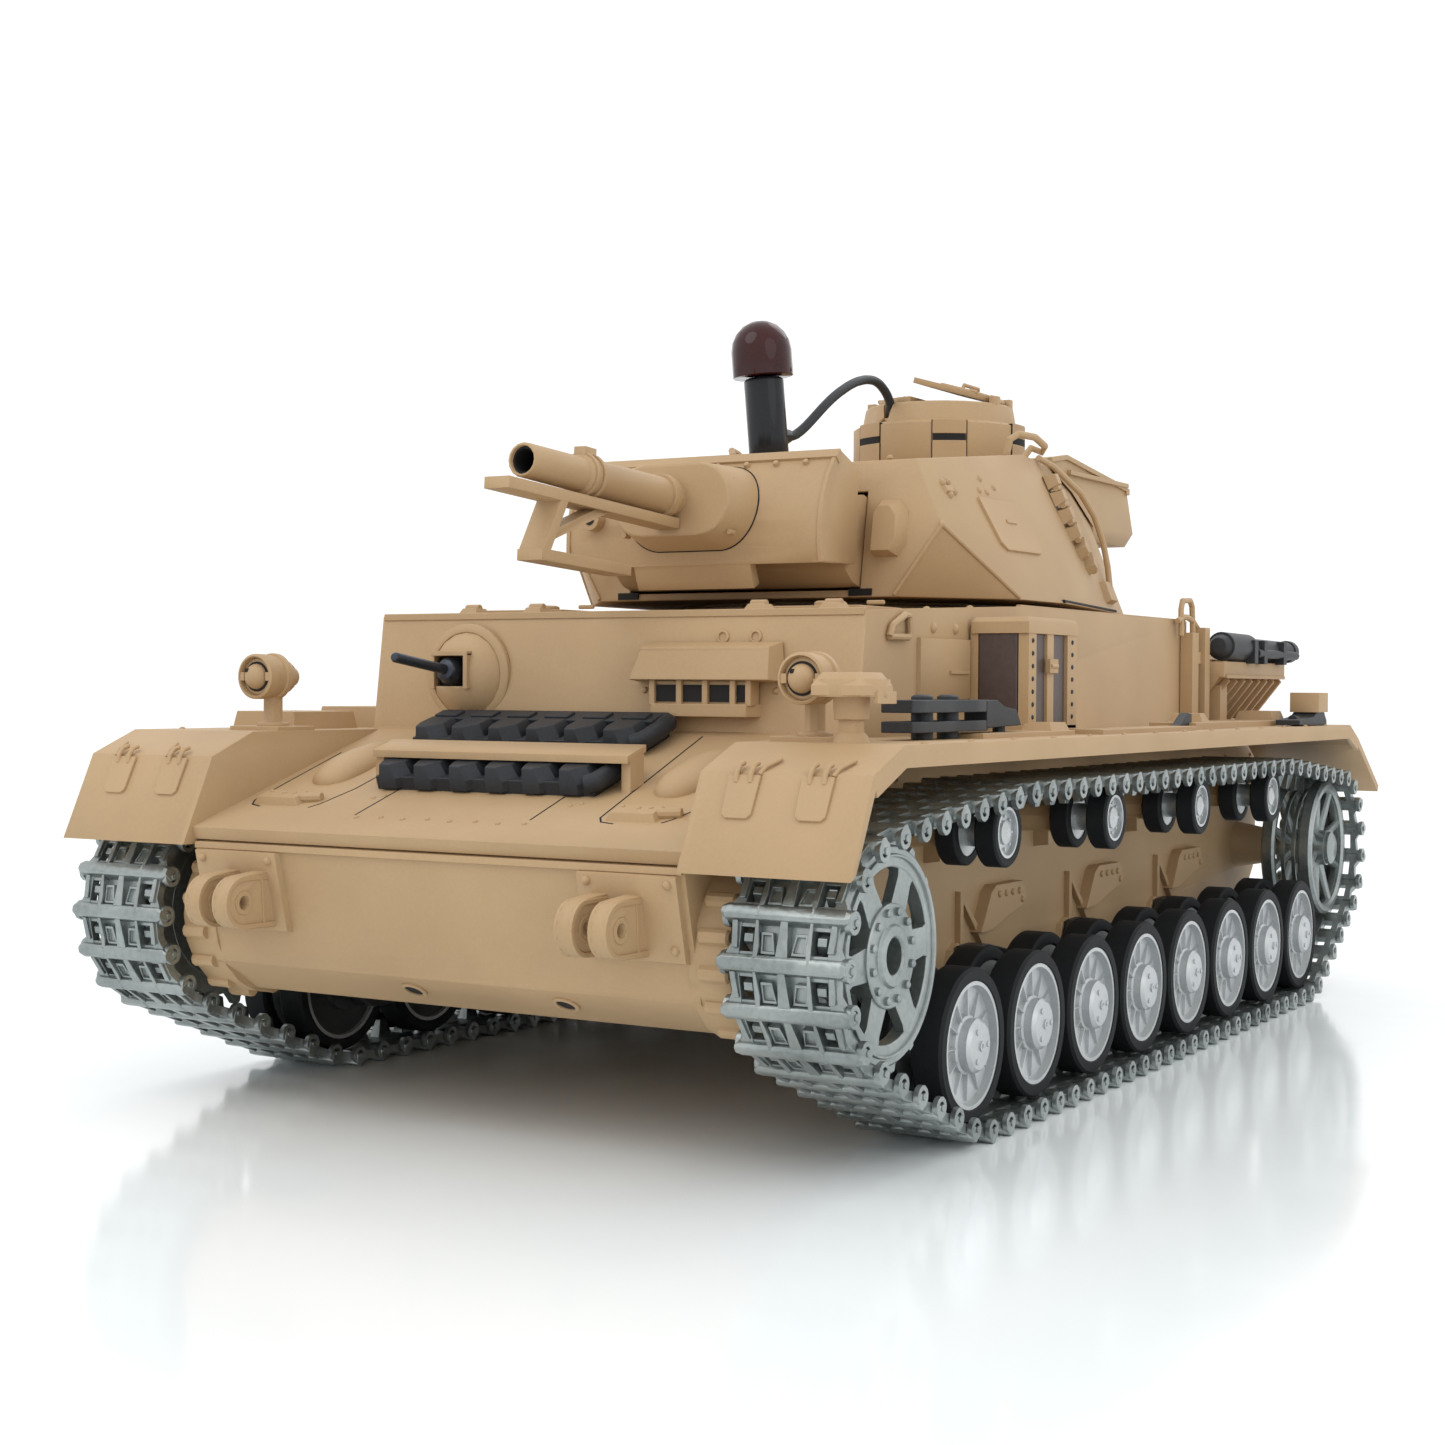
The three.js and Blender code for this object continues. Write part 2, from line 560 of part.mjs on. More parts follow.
function cupola() {
  const { lower, upper, top, hatch } = CUPOLA;
  const base = TURRET_ROOF + GAP;
  const profile = [[hatch, top], [hatch, top - 2.4], [18, top - 2.4], [20.6, 154], [20.6, base], [lower, base],
    [lower, 155], [upper + 0.8, 156], [upper, top - 0.6], [upper - 0.6, top], [hatch, top]];
  const rings = turnedZ(profile, 24).translate(0, CUPOLA.y, 0);
  const ears = [];
  for (const side of [1, -1]) {
    for (const along of [-4.2, 4.2]) {
      const y = CUPOLA.y + along;
      ears.push(onSide(side, box(16.9, 19.2, y - 1.1, y + 1.1, top - 1, top + 1.9)));
    }
  }
  const cableHole = rodZ(2.1, top - 5, top + 2, -5.8, 37.3, 10);
  return cut(join(rings, ...ears), cableHole);
}

// One half of the hatch, drawn about its own hinge line; reach is the way from hinge to split line.
function hatchLid(side) {
  const splitX = (LID.split + side * 0.15) * side;
  const angle = Math.acos(splitX / LID.radius);
  const shape = new THREE.Shape();
  shape.absarc(0, 0, LID.radius, -angle, angle, false);
  shape.closePath();
  const half = plate(shape, LID.plate, 12).translate(-LID.hinge, 0, -0.6);
  const tab = box(-2.4, 0, -2.4, 2.4, -0.6, 0.9);
  const knuckle = rodY(0.8, -2.6, 2.6, 0, 0, 8);
  return onSide(side, join(half, tab, knuckle));
}

function leaned(geometry, z) {
  const up = new THREE.Vector3(BEACON_LEAN.x, BEACON_LEAN.y, 1).normalize();
  const turn = new THREE.Quaternion().setFromUnitVectors(new THREE.Vector3(0, 0, 1), up);
  return geometry.applyQuaternion(turn).translate(BEACON.x, BEACON.y, z);
}

function beaconTube() {
  const { tube, length } = BEACON;
  const profile = [[0, 0.4], [tube, 0.4], [tube, length - 0.6], [tube - 0.6, length], [0, length]];
  const jack = rodX(1.9, 3.6, 7.6, 0, 9.4, 8);
  return leaned(join(turnedZ(profile, 16), jack.rotateZ(1.35)), BEACON.base);
}

function beaconDome() {
  const { dome, length } = BEACON;
  const start = length + GAP;
  const profile = [[0, start], [dome, start], [dome, start + 6.4]];
  for (let k = 1; k <= 5; k += 1) {
    const angle = (k / 5) * (Math.PI / 2);
    profile.push([k === 5 ? 0 : dome * Math.cos(angle), start + 6.4 + dome * Math.sin(angle)]);
  }
  return leaned(turnedZ(profile, 18), BEACON.base);
}

// The lead from the beacon's jack up and over into the hole in the cupola's rim.
const cablePoints = [[-9.9, -11.6, 147.45], [-9.5, -9.9, 147.85], [-9.1, -8.1, 148.75], [-8.7, -6.1, 150.05],
  [-8.3, -3.8, 151.75], [-7.8, -1, 154], [-7.3, 2.4, 156.6], [-6.9, 6.4, 159.2], [-6.6, 10.8, 161.5],
  [-6.4, 15.4, 163.5], [-6.3, 20, 164.9], [-6.1, 24.6, 165.7], [-6, 28.8, 165.6], [-5.9, 32.3, 164.4],
  [-5.8, 35.1, 162.4], [-5.8, 36.9, 160], [-5.8, 37.8, 157.6]];

function beaconCable() {
  const route = new THREE.CatmullRomCurve3(cablePoints.map((p) => new THREE.Vector3(...p)));
  const section = new THREE.Shape();
  section.absarc(0, 0, CABLE_RADIUS, 0, 2 * Math.PI, false);
  return new THREE.ExtrudeGeometry(section, { steps: 22, extrudePath: route, curveSegments: 4 });
}

// ---------- gun, drawn about its trunnion axis with the bore level ----------
function stadium(half, low, high, y) {
  const radius = (high - low) / 2;
  const points = [];
  for (const side of [1, -1]) {
    for (let k = 0; k <= 5; k += 1) {
      const angle = -Math.PI / 2 + (k / 5) * Math.PI;
      const x = side * (half - radius + radius * Math.cos(angle));
      points.push(new THREE.Vector3(x, y, low + radius + side * radius * Math.sin(angle)));
    }
  }
  return points;
}

function arcPoints(radius, from, to, steps) {
  const points = [];
  for (let k = 0; k <= steps; k += 1) {
    const angle = THREE.MathUtils.degToRad(from + ((to - from) * k) / steps);
    points.push([-radius * Math.cos(angle), radius * Math.sin(angle)]);
  }
  return points;
}

function gunMantlet() {
  const { radius, plate: thick, half } = MANTLET;
  const strip = (from, to, steps) => [...arcPoints(radius, from, to, steps),
    ...arcPoints(radius - thick, to, from, steps)];
  const shield = acrossX(strip(-18, 48, 9), -half, half);
  const chin = acrossX(strip(-31, -16, 3), -15, 15);
  const cheek = [...arcPoints(radius, -18, 48, 9), [-6.8, 15], [-6.8, -6]];
  const cheeks = [acrossX(cheek, half - thick, half), acrossX(cheek, -half, -half + thick)];
  const drum = rodX(10.4, -half + 2, half - 2, 0, 0, 16);
  const housing = skin([stadium(15, -2.1, 13.6, -33), stadium(18, -6, 14.6, -17)], false);
  const block = box(-12, 12, -24, -6, -4, 10);
  const barrelBore = rodY(4.9, -34, -20, 0, GUN_AXIS, 16);
  const coaxial = rodY(2.4, -27, -20, -25, 3, 12);
  const coaxialBore = rodY(1.2, -28, -22, -25, 3, 10);
  const body = join(shield, chin, ...cheeks, drum, housing, block, coaxial);
  return cut(body, barrelBore, coaxialBore);
}

function gunBarrel() {
  const bore = 2.85;
  const profile = [[bore, MUZZLE], [3.3, MUZZLE], [3.5, MUZZLE + 0.5], [3.65, -68.8], [4.3, -68.3], [4.3, -63.8],
    [3.9, -63.2], [4.2, -36], [4.2, -21], [0, -21], [0, -74], [bore, -74], [bore, MUZZLE]];
  const tube = turnedY(profile, 16).translate(0, 0, GUN_AXIS);
  const lug = box(-1.4, 1.4, -68.2, -64, GUN_AXIS + 3.4, GUN_AXIS + 5.8);
  return join(tube, lug);
}

function antennaDeflector() {
  const halfWidth = 3;
  const barHalf = 1.15;
  return join(
    sideBar([-95.7, 0.4], [-33.4, 0.4], barHalf, -halfWidth, halfWidth),
    sideBar([-76.5, 0], [-82.8, -12.2], barHalf, -halfWidth, halfWidth),
    sideBar([-84, -12.2], [-51.7, -11.8], barHalf, -halfWidth, halfWidth),
    sideBar([-79.6, -8], [-60.5, 0], 0.9, -halfWidth + 0.8, halfWidth - 0.8),
  );
}

function bowMachineGun() {
  const profile = [[0, -19.5], [0.8, -19.5], [1.1, -19], [1.1, -2.4], [2.2, -2.2], [3, -0.8], [3, 1.2], [2, 2.4],
    [0, 2.4]];
  return turnedY(profile, 12);
}

// ---------- small outside pieces ----------
function headlight() {
  const can = turnedY([[0, -5], [3.6, -4.9], [4.6, -4], [4.6, 0], [3.4, 3.6], [1.4, 5], [0, 5]], 14);
  const post = rodZ(2, -10.7, -3, 0, 0, 8);
  const foot = rodZ(3.4, -11, -9.6, 0, 0, 10);
  return join(can, post, foot);
}

function muffler() {
  const y = HALF_LENGTH - 8.5;
  const main = turnedX([[0, -42], [6.5, -42], [8.5, -40], [8.5, 20], [6.5, 22], [0, 22]], 20, 0, y, 60);
  const small = turnedX([[0, 22], [5, 22], [5, 46], [0, 46]], 12, 0, y - 2, 60);
  const straps = [-34, 12, 40].map((x) => box(x, x + 3, 160.4, y, 56, 64));
  const pipe = rodZ(2.4, 60, 76, -30, y, 8);
  return join(main, small, ...straps, pipe);
}

function gearbox() {
  const casing = acrossX([[-157, 34], [-150, 27], [-122, 27], [-122, 52], [-130, 56], [-157, 50]], 22, 50);
  const boss = rodX(6.5, 49, 53.6, SPROCKET.y, SPROCKET.z, 12);
  const motor = rodY(8, -123, -86, 36, 38, 12);
  const shaftHole = rodX(3.1, 44, 55, SPROCKET.y, SPROCKET.z);
  return cut(join(casing, boss, motor), shaftHole);
}

function batteryPack() {
  const cells = [];
  for (let k = 0; k < 5; k += 1) {
    cells.push(rodX(8, -38, 38, 26 + k * 15.4, 36, 10));
  }
  return join(...cells, box(-37, 37, 26, 87.6, 29, 43));
}

function controlBoard() {
  const board = box(-42, 42, -70, 2, 44, 45.6);
  const parts = [box(-38, -22, -66, -56, 45, 53), box(-16, 6, -62, -40, 45, 48), box(12, 36, -66, -52, 45, 55),
    box(-36, -20, -46, -8, 45, 51), box(-10, 30, -30, -22, 45, 52)];
  const posts = [[-40, -68], [40, -68], [-40, 0], [40, 0]].map(([x, y]) => rodZ(2, 26.4, 44.5, x, y, 8));
  return join(board, ...parts, ...posts);
}

// ---------- assembly ----------
addNode('lower_hull', lowerHull(), sand);
addNode('upper_hull', upperHull(), sand);
addNode('engine_deck', engineDeck(), sand);
addNode('muffler', muffler(), sand);
addNode('battery_pack', batteryPack(), packBlue);
addNode('control_board', controlBoard(), boardGreen);

for (const { side, word } of sides) {
  const mid = side * TRACK_MID;
  addNode(`track_${word}`, trackBand(), castMetal, tank, [mid, 0, 0]);
  addNode(`sprocket_${word}`, onSide(side, driveSprocket()), castMetal, tank, [mid, SPROCKET.y, SPROCKET.z]);
  addNode(`idler_${word}`, onSide(side, idlerWheel()), castMetal, tank, [mid, IDLER.y, IDLER.z]);
  for (let k = 0; k < ROLLER_COUNT; k += 1) {
    addNode(`return_roller_${word}_${k + 1}`, returnRoller(), wheelMetal, tank,
      [mid, rollerY(k), ROLLER_HEIGHT]);
  }
  for (let k = 0; k < WHEEL_COUNT; k += 1) {
    addNode(`road_wheel_${word}_${k + 1}`, roadWheel(), wheelMetal, tank, [mid, wheelY(k), AXLE_HEIGHT]);
  }
  for (let k = 0; k < WHEEL_COUNT; k += 2) {
    addNode(`bogie_${word}_${k / 2 + 1}`, onSide(side, bogieBeam()), darkSteel, tank, [0, wheelY(k), AXLE_HEIGHT]);
  }
  addNode(`gearbox_${word}`, onSide(side, gearbox()), darkSteel);
  addNode(`headlight_${word}`, headlight(), sand, tank, [side * 65, -137, 86.8]);
}

const turret = new THREE.Group();
tank.add(turret);
addNode('turret_shell', turretShell(), sand, turret);
addNode('stowage_bin', stowageBin(), sand, turret);
addNode('cupola', cupola(), sand, turret);
const lidHeight = CUPOLA.top + 0.9;
const leftLid = addNode('cupola_lid_left', hatchLid(1), sand, turret, [LID.hinge, CUPOLA.y, lidHeight]);
leftLid.rotation.y = LID_REST;
addNode('cupola_lid_right', hatchLid(-1), sand, turret, [-LID.hinge, CUPOLA.y, lidHeight]);
addNode('beacon_tube', beaconTube(), blackGloss, turret);
addNode('beacon_dome', beaconDome(), redDome, turret);
addNode('beacon_cable', beaconCable(), cableBlack, turret);

const gun = new THREE.Group();
gun.position.set(0, TRUNNION.y, TRUNNION.z);
gun.rotation.x = -GUN_REST;
turret.add(gun);
addNode('gun_mantlet', gunMantlet(), sand, gun);
addNode('gun_barrel', gunBarrel(), sand, gun);
addNode('antenna_deflector', antennaDeflector(), sand, gun);

const bowGun = addNode('bow_machine_gun', bowMachineGun(), darkSteel, tank, [-37.8, -111.2, 88.3]);
bowGun.rotation.x = THREE.MathUtils.degToRad(-8);

export default tank;
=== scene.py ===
"""Looks for a radio-controlled model tank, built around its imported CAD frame.

Lengths are in millimetres while a piece is being made, and in metres from Part.done() on.
+X is the tank's left, -Y its front, +Z up, and z = 0 is the ground.
"""

import math

import bmesh
import bpy
from mathutils import Matrix, Vector


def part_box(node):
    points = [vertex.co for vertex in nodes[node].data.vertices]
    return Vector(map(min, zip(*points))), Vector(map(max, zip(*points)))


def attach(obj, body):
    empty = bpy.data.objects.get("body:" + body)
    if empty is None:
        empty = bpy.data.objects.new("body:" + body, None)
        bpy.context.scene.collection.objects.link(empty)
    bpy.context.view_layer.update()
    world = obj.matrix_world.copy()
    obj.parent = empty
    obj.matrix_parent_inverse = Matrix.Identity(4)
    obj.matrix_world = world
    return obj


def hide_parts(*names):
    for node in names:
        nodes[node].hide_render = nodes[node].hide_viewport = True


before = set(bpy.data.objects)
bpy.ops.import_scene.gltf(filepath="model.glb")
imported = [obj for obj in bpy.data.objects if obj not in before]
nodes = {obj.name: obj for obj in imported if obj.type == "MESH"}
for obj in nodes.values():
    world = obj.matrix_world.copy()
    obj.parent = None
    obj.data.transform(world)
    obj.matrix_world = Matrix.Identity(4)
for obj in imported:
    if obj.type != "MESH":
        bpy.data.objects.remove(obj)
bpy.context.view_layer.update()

MM = 0.001
TAU = 2 * math.pi
SIDES = ((1, "left"), (-1, "right"))
ACROSS = Vector((1, 0, 0))
HOME = Matrix.Identity(4)
FLIPS = (HOME, Matrix.Scale(-1, 4, ACROSS))     # the left side as drawn, and its mirror image


def mid(node):
    """A CAD node's middle, in millimetres."""
    low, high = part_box(node)
    return (low + high) / 2 / MM


def angles(count, shift=0):
    """Evenly spaced angles round a circle."""
    return [TAU * (k + shift) / count for k in range(count)]


def axes_at(at, right, up, out):
    """A frame at a place, with x, y and z along three directions."""
    return Matrix.Translation(at) @ Matrix((right, up, out)).transposed().to_4x4()


def add_object(name, data):
    obj = bpy.data.objects.new(name, data)
    bpy.context.scene.collection.objects.link(obj)
    return obj


# ---------------------------------------------------------------- camera and light
CAMERA_AT = Vector((250.3, -483.4, 85.2))
CAMERA_YAW, CAMERA_PITCH, CAMERA_ROLL = (math.radians(a) for a in (30.59, -0.94, 0.35))
SENSOR = 36
LENS = 53.98


def make_camera():
    ahead = Vector((-math.sin(CAMERA_YAW) * math.cos(CAMERA_PITCH),
                    math.cos(CAMERA_YAW) * math.cos(CAMERA_PITCH), math.sin(CAMERA_PITCH)))
    level = Vector((math.cos(CAMERA_YAW), math.sin(CAMERA_YAW), 0))
    upward = level.cross(ahead)
    right = level * math.cos(CAMERA_ROLL) + upward * math.sin(CAMERA_ROLL)
    up = upward * math.cos(CAMERA_ROLL) - level * math.sin(CAMERA_ROLL)
    data = bpy.data.cameras.new("camera")
    data.sensor_width = SENSOR
    data.lens = LENS
    data.clip_start = 0.01
    camera = add_object("camera", data)
    camera.matrix_world = axes_at(CAMERA_AT * MM, right, up, -ahead)
    bpy.context.scene.camera = camera


def area_light(name, at, aim, size, watts):
    data = bpy.data.lights.new(name, "AREA")
    data.shape = "DISK"
    data.size = size
    data.energy = watts
    light = add_object(name, data)
    light.location = at
    light.rotation_euler = (Vector(aim) - Vector(at)).to_track_quat("-Z", "Y").to_euler()


def lighting():
    """An even, nearly white room, with three weak lamps for soft shadows."""
    world = bpy.data.worlds.new("studio")
    world.use_nodes = True
    background = world.node_tree.nodes["Background"]
    background.inputs["Color"].default_value = (0.985, 0.992, 1, 1)
    background.inputs["Strength"].default_value = 1.1
    bpy.context.scene.world = world
    area_light("key", (-0.35, -0.75, 0.95), (0, 0, 0.08), 0.8, 2.2)
    area_light("fill", (0.95, -0.45, 0.55), (0.05, 0, 0.06), 0.9, 1.2)
    area_light("back", (0.1, 0.8, 0.9), (0, 0, 0.1), 0.7, 1.4)


# ---------------------------------------------------------------- materials
GRAIN_SHARE = 0.35          # of the fine noise in the colour
GLOSS_DRIFT = 0.07          # of the roughness, to either side
TONES_AT = (0.42, 0.92)     # on the noise, for the darker and the lighter tone


def noise(tree, where, scale, detail):
    texture = tree.nodes.new("ShaderNodeTexNoise")
    texture.inputs["Scale"].default_value = scale
    texture.inputs["Detail"].default_value = detail
    tree.links.new(where, texture.inputs["Vector"])
    return texture.outputs["Fac"]


def surface(name, low, high, rough, metal=0, blotch=35, grain=1400, relief=0.12, specular=0.5):
    """A material whose colour drifts between two tones, with a fine grain in its gloss and its bump."""
    material = bpy.data.materials.new(name)
    material.use_nodes = True
    tree = material.node_tree
    link = tree.links.new
    shader = tree.nodes["Principled BSDF"]
    shader.inputs["Metallic"].default_value = metal
    shader.inputs["Specular IOR Level"].default_value = specular
    where = tree.nodes.new("ShaderNodeTexCoord").outputs["Object"]
    broad = noise(tree, where, blotch, 5)
    fine = noise(tree, where, grain, 3)
    both = tree.nodes.new("ShaderNodeMath")
    both.operation = "MULTIPLY_ADD"
    both.inputs[1].default_value = GRAIN_SHARE
    ramp = tree.nodes.new("ShaderNodeValToRGB")
    for stop, position, tone in zip(ramp.color_ramp.elements, TONES_AT, (low, high)):
        stop.position = position
        stop.color = (*tone, 1)
    gloss = tree.nodes.new("ShaderNodeMapRange")
    gloss.inputs["To Min"].default_value = rough - GLOSS_DRIFT
    gloss.inputs["To Max"].default_value = rough + GLOSS_DRIFT
    bump = tree.nodes.new("ShaderNodeBump")
    bump.inputs["Strength"].default_value = relief
    bump.inputs["Distance"].default_value = 0.0002
    link(fine, both.inputs[0])
    link(broad, both.inputs[2])
    link(both.outputs[0], ramp.inputs["Fac"])
    link(ramp.outputs["Color"], shader.inputs["Base Color"])
    link(fine, gloss.inputs["Value"])
    link(gloss.outputs["Result"], shader.inputs["Roughness"])
    link(fine, bump.inputs["Height"])
    link(bump.outputs["Normal"], shader.inputs["Normal"])
    return material


SAND = surface("sand_plastic", (0.415, 0.276, 0.146), (0.485, 0.328, 0.177), 0.56, relief=0.08, specular=0.4)
CAST = surface("cast_metal", (0.19, 0.215, 0.212), (0.40, 0.435, 0.425), 0.34, metal=0.8, blotch=60,
               grain=900, relief=0.45)
SILVER = surface("silver_paint", (0.44, 0.46, 0.47), (0.60, 0.62, 0.62), 0.36, metal=0.65, relief=0.15)
RUBBER = surface("tyre_rubber", (0.006, 0.007, 0.008), (0.016, 0.018, 0.020), 0.62, grain=2200, relief=0.2,
                 specular=0.2)
LINK_BLACK = surface("spare_link_black", (0.014, 0.016, 0.019), (0.034, 0.037, 0.043), 0.5, relief=0.2,
                     specular=0.3)
GUNMETAL = surface("gunmetal", (0.020, 0.024, 0.030), (0.055, 0.065, 0.085), 0.35, metal=0.6, relief=0.1)
CHASSIS = surface("dark_cast_chassis", (0.035, 0.038, 0.04), (0.08, 0.085, 0.088), 0.42, metal=0.6,
                  relief=0.2)
TOOL = surface("dark_tool", (0.018, 0.020, 0.023), (0.042, 0.046, 0.050), 0.5, relief=0.15, specular=0.3)
GLOSS_BLACK = surface("gloss_black", (0.012, 0.013, 0.016), (0.022, 0.024, 0.028), 0.16, relief=0.01,
                      specular=0.25)
CABLE = surface("cable_sleeve", (0.018, 0.021, 0.024), (0.032, 0.036, 0.040), 0.45, grain=3000, relief=0.15,
                specular=0.3)
LEATHER_BROWN = surface("jack_block_brown", (0.050, 0.033, 0.030), (0.095, 0.066, 0.060), 0.45, grain=700,
                        relief=0.35)
# Painted shade: a near-black material laid in slits, holes, bores, grooves and seams, where the real object
# shows only shade.
SHADOW = surface("painted_shade", (0.004, 0.004, 0.004), (0.010, 0.009, 0.008), 0.8, relief=0.02)
BOARD = surface("circuit_board", (0.012, 0.07, 0.03), (0.03, 0.13, 0.06), 0.4)
WRAP = surface("pack_wrap", (0.02, 0.05, 0.16), (0.04, 0.08, 0.22), 0.35)
DOME = surface("red_dome", (0.010, 0.002, 0.002), (0.055, 0.005, 0.005), 0.09, relief=0, specular=0.35)


# ---------------------------------------------------------------- mesh building
WELD_WITHIN = 0.02          # for the CAD nodes' corners


class Part:
    """Closed shells, added one after another in millimetres, that end as one object."""

    def __init__(self, place=HOME):
        self.bm = bmesh.new()
        self.place = place

    def skin(self, rings, loop=False):
        """Rings of points joined in turn, with flat ends; loop joins the last to the first instead."""
        rows = [[self.bm.verts.new(self.place @ Vector(p)) for p in ring] for ring in rings]
        count = len(rows)
        for i in range(count if loop else count - 1):
            self._strip(rows[i], rows[(i + 1) % count])
        if not loop:
            for row in (rows[0], rows[-1]):
                if len(row) > 2:
                    self.bm.faces.new(row)

    def _strip(self, a, b):
        if len(a) == 1 or len(b) == 1:
            tip, ring = (a[0], b) if len(a) == 1 else (b[0], a)
            for k in range(len(ring)):
                self.bm.faces.new((tip, ring[k], ring[(k + 1) % len(ring)]))
            return
        for k in range(len(a)):
            n = (k + 1) % len(a)
            self.bm.faces.new((a[k], a[n], b[n], b[k]))

    def prism(self, axis, outline, start, end):
        """An outline in the plane across axis, from start to end along it."""
        def point(a, b, h):
            return {"x": (h, a, b), "y": (a, h, b), "z": (a, b, h)}[axis]
        self.skin([[point(a, b, h) for a, b in outline] for h in (start, end)])

    def box(self, low, high):
        (x0, y0, z0), (x1, y1, z1) = low, high
        self.prism("z", [(x0, y0), (x1, y0), (x1, y1), (x0, y1)], z0, z1)

    def wedge(self, low, high, inset, axis="z"):
        """A box whose far face along axis is drawn in all round by inset."""
        k = "xyz".index(axis)
        others = [i for i in range(3) if i != k]
        rings = []
        for level, shrink in ((low[k], 0), (high[k], inset)):
            ring = []
            for a, b in ((0, 0), (1, 0), (1, 1), (0, 1)):
                p = [0, 0, 0]
                p[k] = level
                p[others[0]] = (high if a else low)[others[0]] + (-shrink if a else shrink)
                p[others[1]] = (high if b else low)[others[1]] + (-shrink if b else shrink)
                ring.append(p)
            rings.append(ring)
        self.skin(rings)

    def turned(self, axis, profile, at=(0, 0, 0), segments=32, loop=False):
        """[radius, height] points turned about axis. A radius of 0 is a tip; loop closes it on itself."""
        x, y, z = at
        rings = []
        for radius, h in profile:
            ring = []
            for t in angles(segments) if radius else [0]:
                a, b = radius * math.cos(t), radius * math.sin(t)
                ring.append({"x": (x + h, y + a, z + b), "y": (x + b, y + h, z + a),
                             "z": (x + a, y + b, z + h)}[axis])
            rings.append(ring)
        self.skin(rings, loop)

    def ring(self, axis, profile, at=(0, 0, 0), segments=32):
        self.turned(axis, profile, at, segments, loop=True)

    def rod(self, start, end, radius, segments=16, end_radius=None):
        a, b = Vector(start), Vector(end)
        turn = (b - a).to_track_quat("Z", "Y")
        rings = []
        for centre, r in ((a, radius), (b, radius if end_radius is None else end_radius)):
            rings.append([centre + turn @ Vector((r * math.cos(t), r * math.sin(t), 0))
                          for t in angles(segments)])
        self.skin(rings)

    def tube(self, points, radius, segments=10):
        points = [Vector(p) for p in points]
        rings = []
        side = None
        for k, p in enumerate(points):
            ahead = (points[min(k + 1, len(points) - 1)] - points[max(k - 1, 0)]).normalized()
            if side is None:
                side = ahead.orthogonal().normalized()
            side = (side - ahead * side.dot(ahead)).normalized()
            other = ahead.cross(side)
            rings.append([p + radius * (side * math.cos(t) + other * math.sin(t)) for t in angles(segments)])
        self.skin(rings)

    def dome(self, axis, radius, height, at=(0, 0, 0), segments=20, steps=5, base=0):
        """A cap of that height, bulging along +axis from a short straight base."""
        profile = [(radius, -base)] if base else []
        for k in range(steps + 1):
            t = math.pi / 2 * k / steps
            profile.append((0 if k == steps else radius * math.cos(t), height * math.sin(t)))
        self.turned(axis, profile, at, segments)

    def rivet(self, axis, radius, height, at=(0, 0, 0), base=0.3):
        self.dome(axis, radius, height, at, 8, 2, base)

    def mesh(self, name):
        bmesh.ops.recalc_face_normals(self.bm, faces=self.bm.faces)
        bmesh.ops.scale(self.bm, vec=(MM, MM, MM), verts=self.bm.verts)
        data = bpy.data.meshes.new(name)
        self.bm.to_mesh(data)
        self.bm.free()
        smooth(data)
        return data

    def done(self, name, material=SAND, body="hull", bevel=0.25, replaces=()):
        return show(name, self.mesh(name), material, body, bevel, replaces)


def smooth(data, degrees=35):
    data.polygons.foreach_set("use_smooth", [True] * len(data.polygons))
    data.set_sharp_from_angle(angle=math.radians(degrees))


def soften(obj, width):
    if not width:
        return
    bevel = obj.modifiers.new("edges", "BEVEL")
    bevel.width = width * MM
    bevel.segments = 2
    bevel.limit_method = "ANGLE"
    bevel.angle_limit = math.radians(40)
    bevel.harden_normals = True


def show(name, data, material, body, bevel, replaces=(), at=HOME):
    """One object of a mesh, riding on a body."""
    obj = add_object(name, data)
    if not data.materials:
        data.materials.append(material)
    obj.matrix_world = at
    soften(obj, bevel)
    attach(obj, body)
    if replaces:
        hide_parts(*replaces)
    return obj


def keep(node, material, bevel=0.35, sharp=30):
    """A CAD node that stays, with rounded edges and a real material."""
    obj = nodes[node]
    obj.data.materials.clear()
    obj.data.materials.append(material)
    if bevel:
        weld = obj.modifiers.new("weld", "WELD")
        weld.merge_threshold = WELD_WITHIN * MM
        soften(obj, bevel)
        smooth(obj.data, sharp)


def place_at(centre, turned_round=False):
    """Where a wheel's mesh goes, in metres; on the right it is turned to face outward."""
    spin = Matrix.Rotation(math.pi, 4, "Z") if turned_round else HOME
    return Matrix.Translation(Vector(centre) * MM) @ spin


# ---------------------------------------------------------------- beacon lead
CABLE_ROUTE = [(-9.9, -11.6, 147.45), (-9.5, -9.9, 147.85), (-9.1, -8.1, 148.75), (-8.7, -6.1, 150.05),
               (-8.3, -3.8, 151.75), (-7.8, -1, 154), (-7.3, 2.4, 156.6), (-6.9, 6.4, 159.2),
               (-6.6, 10.8, 161.5), (-6.4, 15.4, 163.5), (-6.3, 20, 164.9), (-6.1, 24.6, 165.7),
               (-6, 28.8, 165.6), (-5.9, 32.3, 164.4), (-5.8, 35.1, 162.4), (-5.8, 36.9, 160),
               (-5.8, 37.8, 157.6)]
CABLE_DIAMETER = 2.4


def beacon_lead():
    curve = bpy.data.curves.new("beacon_lead", "CURVE")
    curve.dimensions = "3D"
    curve.bevel_depth = CABLE_DIAMETER / 2 * MM
    curve.bevel_resolution = 6
    curve.resolution_u = 8
    curve.use_fill_caps = True
    spline = curve.splines.new("BEZIER")
    spline.bezier_points.add(len(CABLE_ROUTE) - 1)
    for point, at in zip(spline.bezier_points, CABLE_ROUTE):
        point.co = Vector(at) * MM
        point.handle_left_type = point.handle_right_type = "AUTO"
    curve.materials.append(CABLE)
    obj = add_object("beacon_lead", curve)
    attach(obj, "turret")
    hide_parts("beacon_cable")


